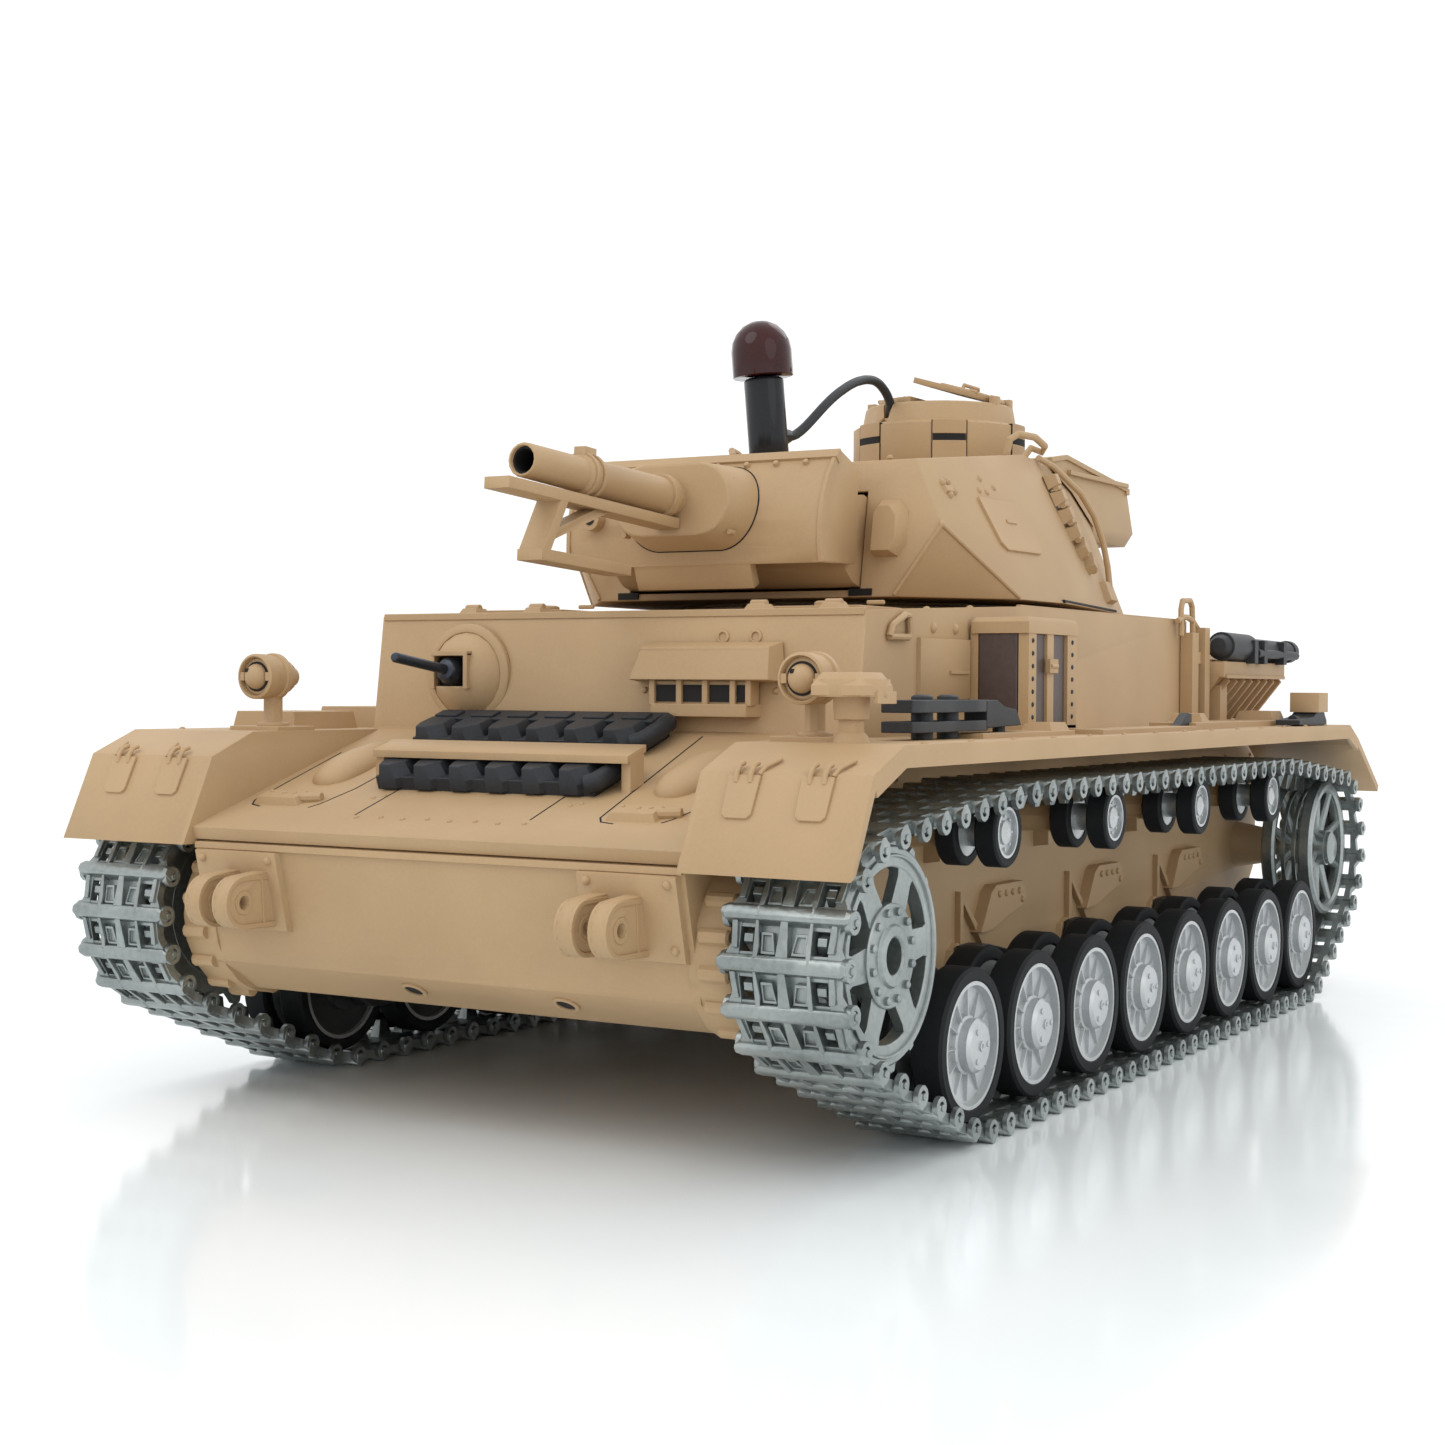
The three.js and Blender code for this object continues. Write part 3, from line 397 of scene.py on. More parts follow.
# ---------------------------------------------------------------- tracks
LINK_PITCH = 8.4
HINGE_HEIGHT = 1.7          # of a link's pins above its inner face
TRACK_GAP = 0.3             # between the wheels and the links' inner faces
SPROCKET_ROOT = 19.4        # the radius the links lie on between the teeth
SPROCKET_TEETH = 16


def track_loop():
    """The line of the track's pins as fine points, clockwise seen from the left, from the sprocket's foot."""
    def circle(name, radius=None):
        low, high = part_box(name)
        at = mid(name)
        return at.y, at.z, (radius or (high.z - low.z) / 2 / MM) + TRACK_GAP + HINGE_HEIGHT
    circles = [circle("sprocket_left", SPROCKET_ROOT)] + [circle(name) for name in (
        "return_roller_left_1", "return_roller_left_4", "idler_left", "road_wheel_left_8",
        "road_wheel_left_1")]
    normals = []
    for k, (y, z, r) in enumerate(circles):
        ny, nz, nr = circles[(k + 1) % len(circles)]
        apart = math.hypot(nz - z, ny - y)
        normals.append(math.atan2(nz - z, ny - y) + math.acos((r - nr) / apart))
    points = []
    for k, (y, z, r) in enumerate(circles):
        start, end = normals[k - 1], normals[k]
        while end > start:
            end -= TAU
        while start - end > TAU:
            end += TAU
        steps = max(2, int((start - end) * 24))
        for s in range(steps + 1):
            t = start + (end - start) * s / steps
            points.append(Vector((0, y + r * math.cos(t), z + r * math.sin(t))))
    return points


def along(points, pitch):
    """Evenly spaced spots round a closed polyline."""
    lengths = [(points[(k + 1) % len(points)] - p).length for k, p in enumerate(points)]
    total = sum(lengths)
    count = round(total / pitch)
    spots = []
    k, used = 0, 0
    for n in range(count):
        target = total * n / count
        while used + lengths[k] < target:
            used += lengths[k]
            k += 1
        a, b = points[k], points[(k + 1) % len(points)]
        spots.append(a.lerp(b, (target - used) / lengths[k]))
    return spots


def add_link(part):
    """One link: x across, y along the run, z outward from the inner face; its hinge bar is at y = 0."""
    end = LINK_PITCH - 0.9
    bar = [(-1.5, 0.4), (1.5, 0.4), (1.7, 1.4), (1.4, 2.7), (0.8, 3.1), (-0.8, 3.1), (-1.4, 2.7), (-1.7, 1.4)]
    ends = ((-12.3, 0.6), (-11.3, 1), (11.3, 1), (12.3, 0.6))
    part.skin([[(x, y * thin, z) for y, z in bar] for x, thin in ends])
    for x in (-5.2, 5.2):
        part.box((x - 0.3, -1, 1.5), (x + 0.3, 1, 3.17))
    part.box((-5.3, 0.8, 0.3), (5.3, end, 1.3))
    for side in (1, -1):
        def plate(corners, low, high):
            part.prism("z", [(side * x, y) for x, y in corners], low, high)

        plate([(4.6, 0.9), (5.5, 0.9), (5.5, end), (4.9, end), (4.4, 3)], 0.4, 2.9)
        plate([(8.4, 0.9), (11.4, 0.9), (10, 3.4), (10.4, end), (8.4, end)], 0.3, 2.3)
        plate([(8.5, 2.4), (9.7, 2.4), (10, end - 0.4), (8.9, end - 0.4)], 2.1, 2.9)
        for y0, y1 in ((1, 2), (end - 1.5, end)):
            x0, x1 = sorted((side * 5.3, side * 8.6))
            part.box((x0, y0, 0.4), (x1, y1, 2.1))
        pocket = [(1.5, 1.6), (4.3, 1.6), (4.5, end - 2.1), (2.2, end - 2.1)]
        inner = [(1.9, 2.2), (3.9, 2.2), (4, end - 2.7), (2.5, end - 2.7)]
        part.skin([[(side * x, y, z) for x, y in ring]
                   for ring, z in ((pocket, 1.2), (pocket, 2.3), (inner, 2.4), (inner, 1.7))])
        part.ring("x", [(r, side * x) for r, x in ((2.1, 11), (2.1, 12.2), (1.1, 12.2), (1.1, 11))],
                    at=(0, 0, 0.7), segments=12)
        part.rod((side * 11, 0, 0.7), (side * 12.6, 0, 0.7), 0.7, 8)
    part.prism("z", [(-1.2, 1.2), (1.2, 1.2), (0.7, end), (-0.7, end)], 1.2, 2.9)
    part.skin([[(-1.5, 0.6, 0.4), (1.5, 0.6, 0.4), (1.5, 5.6, 0.4), (-1.5, 5.6, 0.4)],
               [(-0.7, 2, -3.6), (0.7, 2, -3.6), (0.7, 4.2, -3.6), (-0.7, 4.2, -3.6)]])


def tracks():
    """Both tracks, one piece each."""
    spots = along(track_loop(), LINK_PITCH)
    for side, word in SIDES:
        part = Part()
        x = side * mid("track_left").x
        for k, spot in enumerate(spots):
            ahead = (spots[(k + 1) % len(spots)] - spot).normalized()
            out = ACROSS.cross(ahead)
            part.place = axes_at(spot + x * ACROSS - out * HINGE_HEIGHT, ACROSS, ahead, out)
            add_link(part)
        band = part.done(f"track_links_{word}", CAST, "hull", bevel=0.15,
                         replaces=[f"track_{word}"])
        band.modifiers["edges"].segments = 1


# ---------------------------------------------------------------- wheels
def add_pair_of_rings(part, profile, segments):
    """A ring and its mirror image, about the x axis."""
    for side in (1, -1):
        part.ring("x", [(r, side * w) for r, w in profile], segments=segments)


def fit_wheels(body, cad_name, count, layers):
    """The same layers on every wheel of a kind; the first stands in for the CAD wheel."""
    for side, word in SIDES:
        for k in range(1, count + 1):
            node = f"{cad_name}_{word}_{k}"
            at = place_at(mid(node), side < 0)
            for name, data, material in layers:
                stands_for = [node] if name == layers[0][0] else ()
                show(f"{name}_{word}_{k}", data, material, f"{body}_{word}_{k}", 0,
                     stands_for, at)


def road_wheels():
    """Twin tyres, spoked dishes with hub and bolts, and dark discs behind them, partly painted shade on the
    wheels' inner sides and partly the dark bogies and gearbox behind.
    """
    tyre = Part()
    add_pair_of_rings(tyre, [(14.7, 2.6), (14.7, 7.8), (14.2, 8.4), (12.3, 8.4), (12, 8), (12, 2.3),
                             (12.4, 2), (14.2, 2)], 48)
    disc = Part()
    add_pair_of_rings(disc, [(2.3, 6), (11, 6.6), (11.3, 8.2), (12.05, 8.2), (12.05, 2.4), (2.3, 2.4)], 48)
    disc.ring("x", [(2.3, -3), (5.6, -3), (5.6, 3), (2.3, 3)], segments=24)
    disc.turned("x", [(5.6, 5.8), (5.6, 7), (5.1, 7.3), (5.1, 9), (4.4, 9.7), (1.5, 9.9), (0, 9.9)])
    disc.turned("x", [(1, 9.8), (1, 10.2), (0.5, 10.2), (0.4, 9.9), (0, 9.9)], segments=12)
    for k, t in enumerate(angles(12)):
        disc.place = Matrix.Rotation(t, 4, "X")
        disc.skin([[(6.2, -0.35, 5.4), (6.2, 0.35, 5.4), (6.2, 0.2, 10.6), (6.2, -0.2, 10.6)],
                   [(7.2, -0.15, 5.4), (7.2, 0.15, 5.4), (7, 0.08, 10.6), (7, -0.08, 10.6)]])
        if k % 4 == 1:
            disc.turned("x", [(0.6, 9.5), (0.6, 10), (0, 10.1)], at=(0, 0, 3.2), segments=8)
    # Partly painted shade: a dark ring on each wheel's inner side, for the shade there and for the dark
    # running gear behind.
    cover = Part()
    cover.ring("x", [(2.4, -8.5), (5.4, -8.7), (5.8, -7.6), (11.9, -7.3), (11.9, -6.4), (2.4, -6.2)],
               segments=40)
    fit_wheels("wheel", "road_wheel", 8, [("disc", disc.mesh("wheel_disc"), SILVER),
                                          ("tyre", tyre.mesh("wheel_tyre"), RUBBER),
                                          ("inner_shade_disc", cover.mesh("wheel_inner_shade"), CHASSIS)])


def return_rollers():
    """The small twin rollers under the track's upper run."""
    tyre = Part()
    add_pair_of_rings(tyre, [(6.9, 2.4), (6.9, 6.1), (6.5, 6.5), (5.2, 6.5), (5, 6.2), (5, 2), (6.5, 2)], 32)
    disc = Part()
    disc.ring("x", [(1.6, 5.4), (4.3, 5.4), (4.5, 6.4), (5.05, 6.4), (5.05, 2.2), (3, 2.2), (3, -2.2),
                    (5.05, -2.2), (5.05, -6.2), (1.6, -6.2)])
    disc.turned("x", [(2.4, 5.2), (2.4, 6), (1.2, 6.5), (0, 6.6)], segments=20)
    for t in angles(8):
        disc.turned("x", [(0.35, 5.2), (0.35, 5.8), (0, 5.9)],
                    at=(0, 3.3 * math.cos(t), 3.3 * math.sin(t)), segments=8)
    fit_wheels("roller", "return_roller", 4, [("roller_disc", disc.mesh("roller_disc"), SILVER),
                                              ("roller_tyre", tyre.mesh("roller_tyre"), RUBBER)])


SPOKE_TURN = math.radians(25)               # of the sprockets' spokes


def add_toothed_ring(part, x0, x1, inner):
    """A ring of curved-flank teeth between two planes."""
    rings = []
    for k in range(SPROCKET_TEETH):
        for share, radius in ((-0.5, 18.4), (-0.30, 18.6), (-0.17, 20), (-0.08, 21.3), (0.08, 21.3),
                              (0.17, 20), (0.30, 18.6)):
            t = TAU * (k + share) / SPROCKET_TEETH
            c, s = math.cos(t), math.sin(t)
            corners = ((x0, radius), (x1, radius), (x1, inner), (x0, inner))
            rings.append([(x, r * c, r * s) for x, r in corners])
    part.skin(rings, loop=True)


def sprocket_mesh(side):
    """A sprocket seen from its own outer side, its teeth turned to sit in the links' windows."""
    centre = mid("sprocket_left")
    start = track_loop()[0]
    first_pin = math.atan2(start.z - centre.z, start.y - centre.y)
    phase = side * (first_pin - TAU / SPROCKET_TEETH / 2)
    part = Part(Matrix.Rotation(phase, 4, "X"))
    add_toothed_ring(part, 6.1, 7.9, 15.4)
    add_toothed_ring(part, -7.9, -6.1, 14)
    part.place = HOME
    part.ring("x", [(19.2, 7.6), (19.2, 8.9), (18.8, 9.2), (15.6, 9.2), (15.3, 8.9), (15.3, 6.6)],
              segments=64)
    part.ring("x", [(17.8, 9.1), (17.6, 9.7), (17.2, 9.7), (17, 9.1)], segments=64)
    hub = [(3.2, 6), (9.2, 6), (9.2, 9.3), (8.9, 9.6), (5.6, 9.6), (5.2, 10.3), (3.6, 10.3), (3.2, 9.9)]
    part.ring("x", hub, segments=48)
    part.turned("x", [(0, -12.4), (7, -12.4), (7, 6.2), (3.3, 6.2), (3.3, 5), (0, 5)], segments=40)
    part.ring("x", [(6.8, -8), (15, -8), (15, -6), (6.8, -6)], segments=48)
    for t in angles(6):
        part.place = Matrix.Rotation(t - SPOKE_TURN, 4, "X")
        part.prism("x", [(-3, 8.4), (3, 8.4), (2.6, 13.8), (3.3, 15.9), (-3.3, 15.9), (-2.6, 13.8)], 7, 9)
    for t in angles(12, 0.5):
        part.place = Matrix.Rotation(t, 4, "X")
        part.turned("x", [(0.8, 9.5), (0.8, 10.1), (0.45, 10.4), (0, 10.4)], at=(0, 0, 7.8), segments=8)
    return part.mesh("sprocket")


def sprockets():
    """The two toothed wheels at the front."""
    for side, word in SIDES:
        node = f"sprocket_{word}"
        centre = mid(node)
        at = place_at((side * mid("track_left").x, centre.y, centre.z), side < 0)
        show(f"sprocket_wheel_{word}", sprocket_mesh(side), CAST, node, 0.15, [node], at)


def idlers():
    """Two tube rims on sixteen spokes, about one hub."""
    part = Part()
    add_pair_of_rings(part, [(18.9, 4), (18.9, 6.4), (18.2, 7.1), (16.8, 7.1), (16.2, 6.4), (16.2, 4),
                             (16.8, 3.3), (18.2, 3.3)], 64)
    for t in angles(8, 0.5):
        part.place = Matrix.Rotation(t, 4, "X")
        for side in (1, -1):
            part.rod((side * 3.4, 0, 4), (side * 5.3, 0, 16.8), 1.5, 10, 1.1)
    part.place = HOME
    part.ring("x", [(2.9, -6.8), (5, -6.8), (5, 6.8), (2.9, 6.8)])
    part.turned("x", [(4.6, 6.6), (4.6, 8), (3.6, 8.6), (0, 8.6)])
    for x in (-5.2, -1.5, 1.5, 5.2):
        part.ring("x", [(16.6, x - 0.5), (16.6, x + 0.5), (16, x + 0.5), (16, x - 0.5)], segments=48)
    data = part.mesh("idler")
    for side, word in SIDES:
        node = f"idler_{word}"
        at = place_at(mid(node), side < 0)
        show(f"idler_wheel_{word}", data, CAST, node, 0, [node], at)


# ---------------------------------------------------------------- glacis and nose
GLACIS_FRONT, GLACIS_FOOT = -169, 57        # where the glacis starts, and how high
GLACIS_SLOPE = (76.2 - GLACIS_FOOT) / (-110 - GLACIS_FRONT)


def glacis_at(x, y, height=0):
    return (x, y, GLACIS_FOOT + (y - GLACIS_FRONT) * GLACIS_SLOPE + height)


def glacis_frame(x, y):
    """Local x across, local y up the glacis, local z out of it."""
    up = Vector((0, 1, GLACIS_SLOPE)).normalized()
    return axes_at(Vector(glacis_at(x, y)), ACROSS, up, ACROSS.cross(up))


def spare_links():
    """Two rows of links, under and behind the rack on the glacis."""
    part = Part()
    count = 6
    for x0, x1, y0, y1 in ((-28.9, 23.3, -146.2, -134.2), (-37.3, 19.3, -124.2, -113.2)):
        part.place = glacis_frame(0, y0)
        deep = (y1 - y0) * 1.05
        part.box((x0, 0, -0.2), (x1, deep, 2.8))
        step = (x1 - x0) / count
        part.box((x0 + 0.6, deep * 0.56, 2.4), (x1 - 0.4, deep + 0.2, 5))
        part.rod((x0 + 0.4, deep + 0.2, 3.2), (x1, deep + 0.2, 3.2), 1.8, 12)
        for k in range(count):
            a = x0 + k * step
            far = deep * 0.6
            foot = [(1.6, -1), (5.4, -1), (step - 0.7, 1.6), (step - 0.9, far), (0.5, far), (0.2, 2.6)]
            head = [(1.2, 0.4), (3.8, 0.2), (step - 2.7, 2.6), (step - 2.5, far), (0.8, far), (0.5, 2.8)]
            part.skin([[(a + x, y, z) for x, y in ring]
                       for ring, z in ((foot, 0.4), (foot, 2.6), (head, 5.2))])
            part.box((a + 1.2, deep * 0.62, 4.8), (a + step - 2.4, deep * 0.9, 5.5))
        part.tube([(x1 - 1.6, -0.2, 2.4), (x1 + 0.4, 0.8, 2.8), (x1 + 1.2, deep / 2, 3.2),
                   (x1 + 0.4, deep - 0.6, 3.2), (x1 - 1.6, deep + 0.3, 3)], 1.9, 12)
    part.done("spare_track_links", LINK_BLACK, bevel=0.3)


def glacis_fittings():
    """Hatch hinges, brake covers and bolts on the glacis, and dark strips of painted shade along its seams."""
    part = Part()
    for x, y, wide in ((-46.6, -154.4, 11.5), (38.2, -155, 11)):
        part.place = glacis_frame(x, y)
        part.wedge((-wide / 2, -2.4, -0.2), (wide / 2, 3.4, 1.5), 0.9)
        for dx in (-3.4, 0.4, 2.8):
            part.rivet("z", 0.55, 0.5, (dx, 0.4 + (dx % 1.1), 1.4), base=0)
        part.rod((wide / 2 - 1, 0.4, 0.7), (wide / 2 + 3.4, 1.6, 0.5), 1.1, 10)
    for x in (-44.5, 38.4):
        part.place = glacis_frame(x, -136.5)
        rings = []
        for y, radius in ((-9.4, 0.4), (-8.9, 2.2), (-7.4, 3.8), (-4.8, 4.8), (-1, 5.2), (4, 5), (9, 4.2),
                          (13, 2.8), (15.6, 0.5)):
            rings.append([(radius * math.cos(t), y, 0.72 * radius * math.sin(t) - 0.3) for t in angles(24)])
        part.skin(rings)
    for k in range(8):
        part.place = glacis_frame(-22 + k * 5.6, -160.8 + 0.5 * (k % 2))
        part.rivet("z", 0.6, 0.4)
    for x in (-26, 21):
        part.place = glacis_frame(x, -151)
        part.rivet("z", 0.6, 0.4)
        part.rivet("z", 0.6, 0.4, (1.8, 1.2, 0))
    part.done("glacis_fittings", bevel=0.15)

    # Painted shade: thin dark strips lying on the glacis stand for the shade in its seams.
    seams = Part()
    lines = ([(-50, -157.4), (-52.6, -156.6), (-54, -154.4), (-54.9, -127)],
             [(-37.5, -157), (-36.3, -155), (-34.4, -146.5)], [(-34.4, -146.5), (-34.2, -119)],
             [(-23.4, -159.6), (-23.8, -118)], [(17.1, -158.3), (16.8, -147)],
             [(35.4, -158.4), (32.4, -157.8), (31, -155.9), (26.7, -113)],
             [(44.9, -157), (46.1, -155.4), (49.8, -146)])
    for line in lines:
        for (x0, y0), (x1, y1) in zip(line, line[1:]):
            way = Vector((x1 - x0, y1 - y0, 0)).normalized() * 0.17
            across = Vector((-way.y, way.x, 0))
            start, end = Vector((x0, y0, 0)) - way * 0.5, Vector((x1, y1, 0)) + way * 0.5
            corners = [start + across, start - across, end - across, end + across]
            seams.skin([[glacis_at(c.x, c.y, h) for c in corners] for h in (-0.2, 0.05)])
    seams.done("glacis_seam_shade", SHADOW, bevel=0)


AXLE_Y, AXLE_Z = -147.7, 39         # of the sprockets


def nose_hole_frame(x):
    """Local z out of the sloping plate under the nose."""
    turn = Vector((0, -0.55, -0.835)).to_track_quat("Z", "Y").to_matrix().to_4x4()
    return Matrix.Translation((x, -158.3, 27.2)) @ turn


def nose_fittings():
    """Towing ears, final drive bolts and the nose's lower plate."""
    part = Part()
    ear_y, ear_z, reach = -174.9, 43.5, 5.05
    for flip in FLIPS:
        part.place = flip
        for x in (37.8, 44.8):
            rim = []
            for radius in (reach, reach - 0.9):
                curve = [(ear_y + 8.2, ear_z + radius)]
                for k in range(13):
                    t = math.pi / 2 + math.pi * k / 12
                    curve.append((ear_y + radius * math.cos(t), ear_z + radius * math.sin(t)))
                curve.append((ear_y + 10.4, ear_z - radius))
                rim.append(curve)
            ring = rim[0] + rim[1][::-1]
            for a, b in ((x - 0.3, x + 0.3), (x + 2.9, x + 3.5)):
                part.prism("x", ring, a, b)
            for a, b in ((x - 0.25, x + 0.2), (x + 3, x + 3.45)):
                part.ring("x", [(2.3, a), (2.3, b), (1.35, b), (1.35, a)], (0, ear_y, ear_z), 20)
                part.prism("x", [(ear_y + 4.6, ear_z + 4.4), (ear_y + 5.3, ear_z + 4.4),
                                 (ear_y + 6, ear_z - 4.6), (ear_y + 5.3, ear_z - 4.6)], a, b)
        for x, z in ((37, 51.2), (53.8, 51.2), (53.8, 39.6)):
            part.dome("y", 0.9, -0.9, (x, -169.2 + (51.2 - z) * 0.24, z), 10, 3, base=-0.6)
        for t in angles(16, 0.5):
            part.turned("x", [(1.5, 57.5), (1.5, 63), (1, 63.5), (0, 63.5)],
                        (0, AXLE_Y + 16.6 * math.cos(t), AXLE_Z + 16.6 * math.sin(t)), 10)
        part.ring("x", [(13.6, 63.2), (13.6, 64), (12.4, 64), (12.4, 63.2)], (0, AXLE_Y, AXLE_Z), 40)
    part.place = HOME
    part.box((-56.4, -168.9, 52.9), (56.4, -168.1, 54.2))
    # Painted shade: flat dark discs stand for the shade inside the two holes under the nose.
    holes = Part()
    for x in (-9.7, 25.4):
        part.place = holes.place = nose_hole_frame(x)
        holes.turned("z", [(0, -0.4), (1.9, -0.4), (1.9, 0.1), (0, 0.1)], segments=16)
        part.ring("z", [(2.6, -0.5), (2.6, 0.35), (1.9, 0.5), (1.9, -0.5)], segments=20)
    part.done("nose_fittings", bevel=0.12)
    holes.done("nose_hole_shade", SHADOW, bevel=0)


def hull_side_fittings():
    """Bogie brackets, bump stops and bolts along the lower hull."""
    part = Part()
    for flip in FLIPS:
        part.place = flip
        for y in (-57, 6, 69):
            stay = [(0, 41.6), (0, 27), (1.6, 27), (1.6, 38.8), (14, 27), (17, 27)]
            plate = [(8, 32), (13.5, 40.4), (16, 41.8), (31, 41.8), (33.5, 38.2), (31, 36.2), (22, 34.2),
                     (14, 32)]
            for outline, reach in ((stay, 58), (plate, 59.4)):
                part.prism("x", [(y + dy, z) for dy, z in outline], 56.3, reach)
            for k in range(4):
                part.rivet("x", 0.9, 0.7, (59.4, y + 17.6 + k * 3.7, 39.7), base=0)
            part.rivet("x", 0.9, 0.7, (59.4, y + 30.6, 37.6), base=0)
        for y in (-73, -13.5, 46):
            part.wedge((56.3, y, 48.6), (60.2, y + 3.4, 55.2), 0.5, "x")
            part.rod((58, y + 1.7, 53.4), (62.4, y + 1.7, 53.4), 1.3, 10)
        for y in range(-140, 150, 24):
            part.rivet("x", 0.7, 0.5, (56.6, y + 6, 66), base=0)
    part.done("hull_side_fittings", bevel=0.15)


# ---------------------------------------------------------------- superstructure
FRONT_LEAN = math.atan2(3.2, 24.8)
FRONT_Y, FRONT_Z = -110, 75.5       # of the front plate's foot


def front_plate_frame(x, z):
    """Local z out of the superstructure's front plate, local y up it."""
    up = Vector((0, math.sin(FRONT_LEAN), math.cos(FRONT_LEAN)))
    return axes_at((x, FRONT_Y + (z - FRONT_Z) * math.tan(FRONT_LEAN), z), ACROSS, up, ACROSS.cross(up))


def front_plate_fittings():
    """The driver's visor, the bow gun's mount and the roof's front edge."""
    part = Part()
    part.skin([[(8.6, -109, 86.2), (43.4, -109, 86.2), (42.2, -108, 94.3), (10.4, -108, 94.3)],
               [(9.8, -114.2, 86.6), (42.2, -114.2, 86.6), (41.4, -112.4, 93.2), (11.6, -112.4, 93.2)]])
    part.prism("z", [(13.4, -109), (14.6, -113.4), (36.8, -113.4), (38.2, -109)], 79.2, 81.8)
    for x in (13.9, 20.3, 26.4, 32.8, 36.4):
        part.box((x, -113, 81.4), (x + 1.3, -109.5, 86.6))
    for x in (28.1, 35.7):
        part.place = front_plate_frame(x, 95.3)
        part.ring("z", [(1.5, -0.3), (1.5, 0.35), (0.9, 0.5), (0.9, -0.3)], segments=16)
    for x in (10.4, 41.2):
        part.place = front_plate_frame(x, 84.5)
        part.rivet("z", 0.8, 0.6)
    part.place = Matrix.Translation((-34.9, -108.7, 87.6))
    part.ring("y", [(10.9, 0.6), (10.9, -0.5), (9.9, -1), (9, -1), (9, 0.6)], segments=40)
    part.place = HOME
    rim = [(-43.6, -109.4), (-43.6, -110.8), (-38.6, -113), (-31.6, -113.8), (-31.6, -109.4)]
    part.prism("z", rim, 91.5, 92.6)
    part.box((-43.6, -110.9, 84.4), (-42.6, -109.4, 92.2))
    part.box((-32.7, -113.8, 84.4), (-31.6, -109.4, 92.2))
    part.box((-59.6, -107.2, 99.4), (59.6, -105.6, 100.9))
    part.done("front_plate_fittings", bevel=0.2)

    # Painted shade: dark boxes behind the visor's slots and in the bow gun's mount stand for the shade in
    # these openings.
    dark = Part()
    for x in (15.3, 21.7, 27.9, 33.2):
        dark.box((x, -112.3, 82.2), (x + (4.7 if x < 33 else 3), -111.9, 85.6))
    dark.box((-43, -108.3, 85.2), (-32.9, -107.3, 91.3))
    dark.done("vision_slot_shade", SHADOW, bevel=0)


ROOF_TOP, ROOF_FRONT, ROOF_SLOPE = 103.7, 100.3, 0.0443


def roof_at(y):
    """The roof's height: its front part slopes down to the front plate."""
    return ROOF_FRONT + (y + 106.8) * ROOF_SLOPE if y < -30 else ROOF_TOP


def roof_fittings():
    """Hatches, side rails and the turret's ring."""
    part = Part()
    for x in (-32.5, 40.1):
        part.box((x - 12, -94.5, roof_at(-94) - 0.4), (x + 12, -74.5, roof_at(-84) + 0.6))
        for dx in (-8.6, 8.6):
            part.wedge((x + dx - 2.9, -101.6, 100.2), (x + dx + 2.9, -95.6, 102.2), 1.1)
            part.rod((x + dx - 1.8, -98.8, 102.1), (x + dx + 1.8, -98.8, 102.1), 1, 10)
        part.turned("z", [(3.4, 101.8), (3.4, 102.9), (2.8, 103.2), (0, 103.2)], (x, -84, 0), 20)
        part.rod((x + 6, -79, 103), (x + 10, -79, 103), 0.5, 8)
    for side in (1, -1):
        part.box((side * 59.3 - 0.6, -30, 102.6), (side * 59.3 + 0.6, 84, 104.1))
        for y in (-70, -48, 40, 66):
            part.rivet("z", 0.9, 0.5, (side * 55.5, y, roof_at(y)))
    part.ring("z", [(46.5, 103.4), (46.5, 104.3), (45.6, 104.7), (44.2, 104.7), (44.2, 103.4)], (0, 8, 0), 64)
    part.done("roof_fittings", bevel=0.2)


